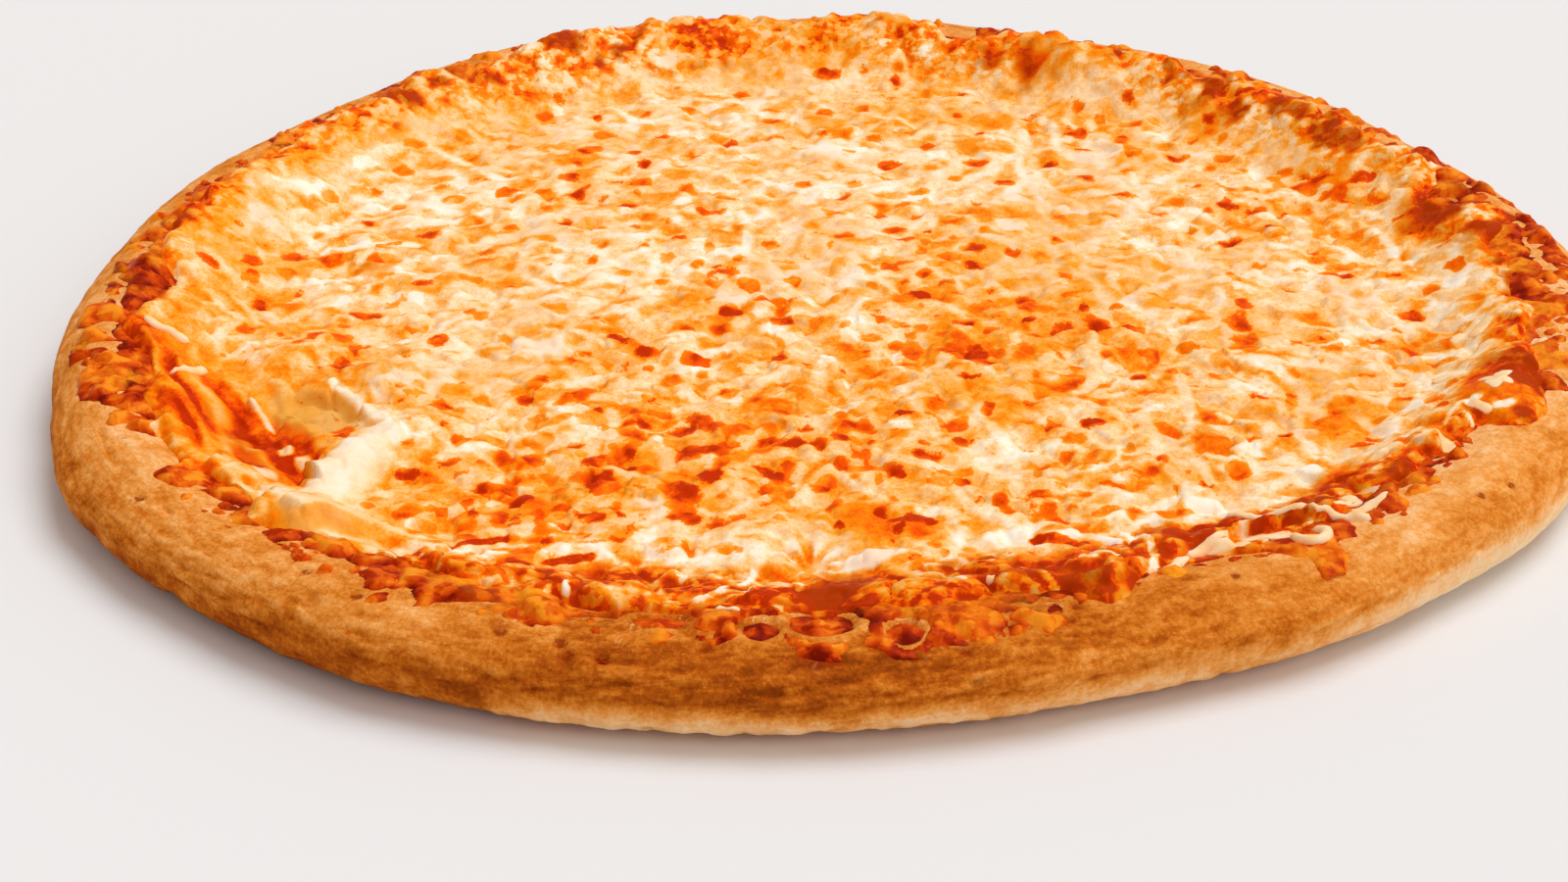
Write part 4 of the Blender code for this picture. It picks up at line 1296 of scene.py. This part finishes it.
def cheese_material():
    """Melted mozzarella: cream where thick, peach and orange where thin, brown-red in the wells, with
    browning and painted shade in the band's grooves, the pit and the hollow.
    """
    material, tree, shader = new_material("cheese")
    wobble = calc(tree, "SUBTRACT", mottle(tree, 480.0, 0.30, 0.70), 0.5)
    fine = calc(tree, "SUBTRACT", mottle(tree, 1500.0, 0.35, 0.65), 0.5)
    uneven = plus(tree, times(tree, wobble, 0.7), fine, 0.55)
    uneven = times(tree, uneven, plus(tree, 1.0, read(tree, "smooth"), -0.7))
    thickness = plus(tree, read(tree, "thick"), uneven)
    whiteness = stretch(tree, plus(tree, read(tree, "white"), wobble, 1.2), -0.2, 0.6)
    thickness = plus(tree, thickness, whiteness, 0.95)
    inside = plus(tree, plus(tree, read(tree, "well"), wobble, 1.4), fine, 0.8)
    wellness = plus(tree, stretch(tree, inside, -0.22, 0.26), stretch(tree, inside, 0.3, 1.8), 0.35)
    thickness = plus(tree, thickness, times(tree, wellness, read(tree, "well_depth")), -1.0)
    baked = calc(tree, "SUBTRACT", mottle(tree, 320.0, 0.45, 0.55), 0.55)
    thickness = plus(tree, thickness, times(tree, baked, read(tree, "band")), 1.7)
    thickness = plus(tree, thickness, read(tree, "scorch_and_shade"), -1.7)
    color = ramp(
        tree,
        thickness,
        (
            (-3.4, (0.55, 0.030, 0.001)),
            (-2.6, (0.86, 0.085, 0.001)),
            (-2.0, (0.97, 0.150, 0.001)),
            (-1.4, (0.97, 0.235, 0.003)),
            (-0.9, (0.97, 0.330, 0.014)),
            (-0.3, (0.98, 0.460, 0.100)),
            (0.3, (0.99, 0.615, 0.280)),
            (1.0, (1.0, 0.775, 0.510)),
            (1.8, (1.0, 0.920, 0.800)),
        ),
    )
    gold = times(tree, read(tree, "gold"), stretch(tree, thickness, -2.4, -0.6))
    color = blend(tree, gold, color, (0.94, 0.36, 0.008))
    # The hollow's glaze, darker in part as painted shade of the sag.
    glazed_and_shaded = blend(tree, mottle(tree, 420.0, 0.60, 0.66), (0.78, 0.38, 0.060), (0.55, 0.14, 0.004))
    color = blend(tree, times(tree, read(tree, "glaze_and_shade"), 0.85), color, glazed_and_shaded)
    # Browning, and painted shade in the band's grooves and in the pit.
    scorch_and_shade = times(tree, read(tree, "scorch_and_shade"), plus(tree, 0.6, fine, 0.3))
    color = blend(tree, scorch_and_shade, color, (0.38, 0.050, 0.002))
    tree.links.new(color, shader.inputs["Base Color"])
    make_rough(tree, shader, stretch(tree, thickness, -1.2, 0.6), 0.28, 0.45)
    shader.inputs["IOR"].default_value = 1.06
    grain = use_group(tree, GRAIN, Scale=650.0, Strength=0.22, Depth=0.0005)
    tree.links.new(grain.outputs["Normal"], shader.inputs["Normal"])
    return material


cheese_look = cheese_material()
for tile_name, tile_cell, tile_box in (
    ("cheese_near_left", 0.5, (-200.0, -200.0, CHEESE_SEAM_X, CHEESE_SEAM_Y)),
    ("cheese_near_right", 0.5, (CHEESE_SEAM_X, -200.0, 200.0, CHEESE_SEAM_Y)),
    ("cheese_far", 0.8, (-200.0, CHEESE_SEAM_Y, 200.0, 200.0)),
):
    add_piece(tile_name, cheese_tile(tile_name, tile_cell, *tile_box), cheese_look, "cheese")

# Some shreds never melted in. They lie on the cheese and the sauce as pale thin
# strips with round edges, most of them at the near right, and one curled into a ring.
SHRED_RINGS = 13
SHRED_SIDES = 9
SHRED_PATH_STEPS = 41
LOOSE_SHREDS = 18
# The shreds that stand out: middle, direction, length, bend in degrees, half width and height.
SET_SHREDS = (
    (89.5, -129.0, 20.0, 16.0, 300.0, 1.3, 1.5),
    (82.0, -118.0, -14.0, 17.0, 20.0, 1.1, 1.1),
    (96.0, -121.0, -20.0, 13.0, -25.0, 1.1, 1.1),
    (-149.0, -45.0, -10.0, 11.0, 15.0, 1.2, 1.2),
    (-141.0, -60.0, 60.0, 12.0, 20.0, 1.2, 1.1),
    (21.0, -147.0, -60.0, 6.0, 20.0, 1.0, 0.5),
    (28.0, -143.5, 70.0, 6.0, 10.0, 1.0, 0.5),
    (-21.0, -159.0, -40.0, 6.0, 20.0, 0.9, 0.6),
    (70.0, -129.0, 40.0, 12.0, 40.0, 1.2, 1.0),
)

topping_surface = np.maximum(cheese_top, sauce_top)


def lay_shred(shape, x, y, turn, length, bend, wide, tall):
    """One bent strip with tapered ends, wrapped from a grid, that follows the surface under it."""
    made = bmesh.ops.create_grid(shape, x_segments=SHRED_SIDES, y_segments=SHRED_RINGS - 1, size=1.0)["verts"]
    spots = np.array([vertex.co[:2] for vertex in made])
    share = spots[:, 1]
    round_it = math.pi * (spots[:, 0] + 1.0)
    swing = math.radians(bend)
    heading = math.radians(turn) + 0.5 * swing * share
    steps = np.linspace(-1.0, 1.0, SHRED_PATH_STEPS)
    path = math.radians(turn) + 0.5 * swing * steps
    path_x = np.cumsum(np.cos(path)) * length / SHRED_PATH_STEPS
    path_y = np.cumsum(np.sin(path)) * length / SHRED_PATH_STEPS
    line_x = x + np.interp(share, steps, path_x - path_x.mean())
    line_y = y + np.interp(share, steps, path_y - path_y.mean())
    body = np.sqrt(np.clip(1.0 - np.abs(share) ** 5, 0.0, 1.0))
    side = wide * body * np.cos(round_it)
    spot_x = line_x - side * np.sin(heading)
    spot_y = line_y + side * np.cos(heading)
    up = tall * body * np.sin(round_it)
    spot_z = sample(topping_surface, spot_x, spot_y) + up - 0.1 * tall
    for vertex, place in zip(made, zip(spot_x, spot_y, np.minimum(spot_z, CHEESE_TOP_LIMIT))):
        vertex.co = place


def loose_shreds():
    """The set shreds, and seeded ones near the rim at the near right."""
    draw = np.random.default_rng(91)
    shape = bmesh.new()
    for values in SET_SHREDS:
        lay_shred(shape, *values)
    for _ in range(LOOSE_SHREDS):
        share = draw.uniform(0.80, 0.90)
        angle = draw.uniform(-1.25, -0.2)
        reach = share * float(outline(np.array(angle)))
        x = reach * math.cos(angle) - MIDDLE_X
        y = reach * math.sin(angle) - MIDDLE_Y
        length = draw.uniform(4.0, 12.0)
        turn = draw.uniform(0.0, 180.0)
        bend = draw.uniform(-70.0, 70.0)
        wide = draw.uniform(1.1, 1.9)
        lay_shred(shape, x, y, turn, length, bend, wide, draw.uniform(0.2, 0.4))
    bmesh.ops.remove_doubles(shape, verts=shape.verts[:], dist=1e-3)
    bmesh.ops.recalc_face_normals(shape, faces=shape.faces[:])
    mesh = to_mesh(shape, "cheese_shreds")
    set_spots(mesh, *read_spots(mesh))
    return mesh


def shred_material():
    """Pale cheese strips: cream, with a little orange oil on them."""
    material, tree, shader = new_material("cheese_shreds")
    oil = mottle(tree, 260.0, 0.38, 0.66)
    color = blend(tree, times(tree, oil, 0.8), (1.0, 0.80, 0.54), (1.0, 0.56, 0.20))
    color = blend(tree, times(tree, mottle(tree, 1200.0, 0.35, 0.65), 0.3), color, (1.0, 0.70, 0.35))
    tree.links.new(color, shader.inputs["Base Color"])
    make_rough(tree, shader, oil, 0.35, 0.5)
    shader.inputs["IOR"].default_value = 1.08
    grain = use_group(tree, GRAIN, Scale=700.0, Strength=0.35, Depth=0.0004)
    tree.links.new(grain.outputs["Normal"], shader.inputs["Normal"])
    return material


add_piece("cheese_shreds", loose_shreds(), shred_material(), "cheese")

# The studio is a plain pale floor that runs out to a pale surround, under a
# soft light from above and a weaker one from the front right.
CAMERA_SPOT = (-3.0, -566.7, 264.3)
CAMERA_LOOK = (-0.01687, 0.88669, -0.46206)
CAMERA_LENS = 60.3


def floor_material():
    """A matt floor, a little bluer than the warm light, so that it shows as near white."""
    material, tree, shader = new_material("floor")
    shader.inputs["Base Color"].default_value = (0.795, 0.825, 0.875, 1.0)
    shader.inputs["Roughness"].default_value = 0.9
    return material


floor_shape = bmesh.new()
bmesh.ops.create_grid(floor_shape, x_segments=2, y_segments=2, size=6.0)
floor_mesh = to_mesh(floor_shape, "floor")
floor_mesh.materials.append(floor_material())
floor = bpy.data.objects.new("floor", floor_mesh)
bpy.context.scene.collection.objects.link(floor)

world = bpy.data.worlds.new("studio")
bpy.context.scene.world = world
world.use_nodes = True
world.node_tree.nodes["Background"].inputs["Color"].default_value = (1.0, 0.87, 0.74, 1.0)
world.node_tree.nodes["Background"].inputs["Strength"].default_value = 0.52


def add_sun(name, direction, angle_degrees, strength):
    """A distant soft lamp that shines from a direction."""
    lamp = bpy.data.lights.new(name, "SUN")
    lamp.angle = math.radians(angle_degrees)
    lamp.energy = strength
    made = bpy.data.objects.new(name, lamp)
    made.rotation_euler = Vector(direction).to_track_quat("Z", "Y").to_euler()
    bpy.context.scene.collection.objects.link(made)


add_sun("key_light", (0.35, 0.28, 1.0), 40.0, 1.65)
add_sun("fill_light", (0.75, -0.65, 0.5), 50.0, 0.6)

bpy.context.scene.view_settings.view_transform = "Standard"
camera_data = bpy.data.cameras.new("camera")
camera_data.lens = CAMERA_LENS
camera_data.sensor_width = 36.0
camera_data.clip_start = 0.01
camera = bpy.data.objects.new("camera", camera_data)
camera.location = Vector(CAMERA_SPOT) * MM
camera.rotation_euler = Vector(CAMERA_LOOK).to_track_quat("-Z", "Y").to_euler()
bpy.context.scene.collection.objects.link(camera)
bpy.context.scene.camera = camera
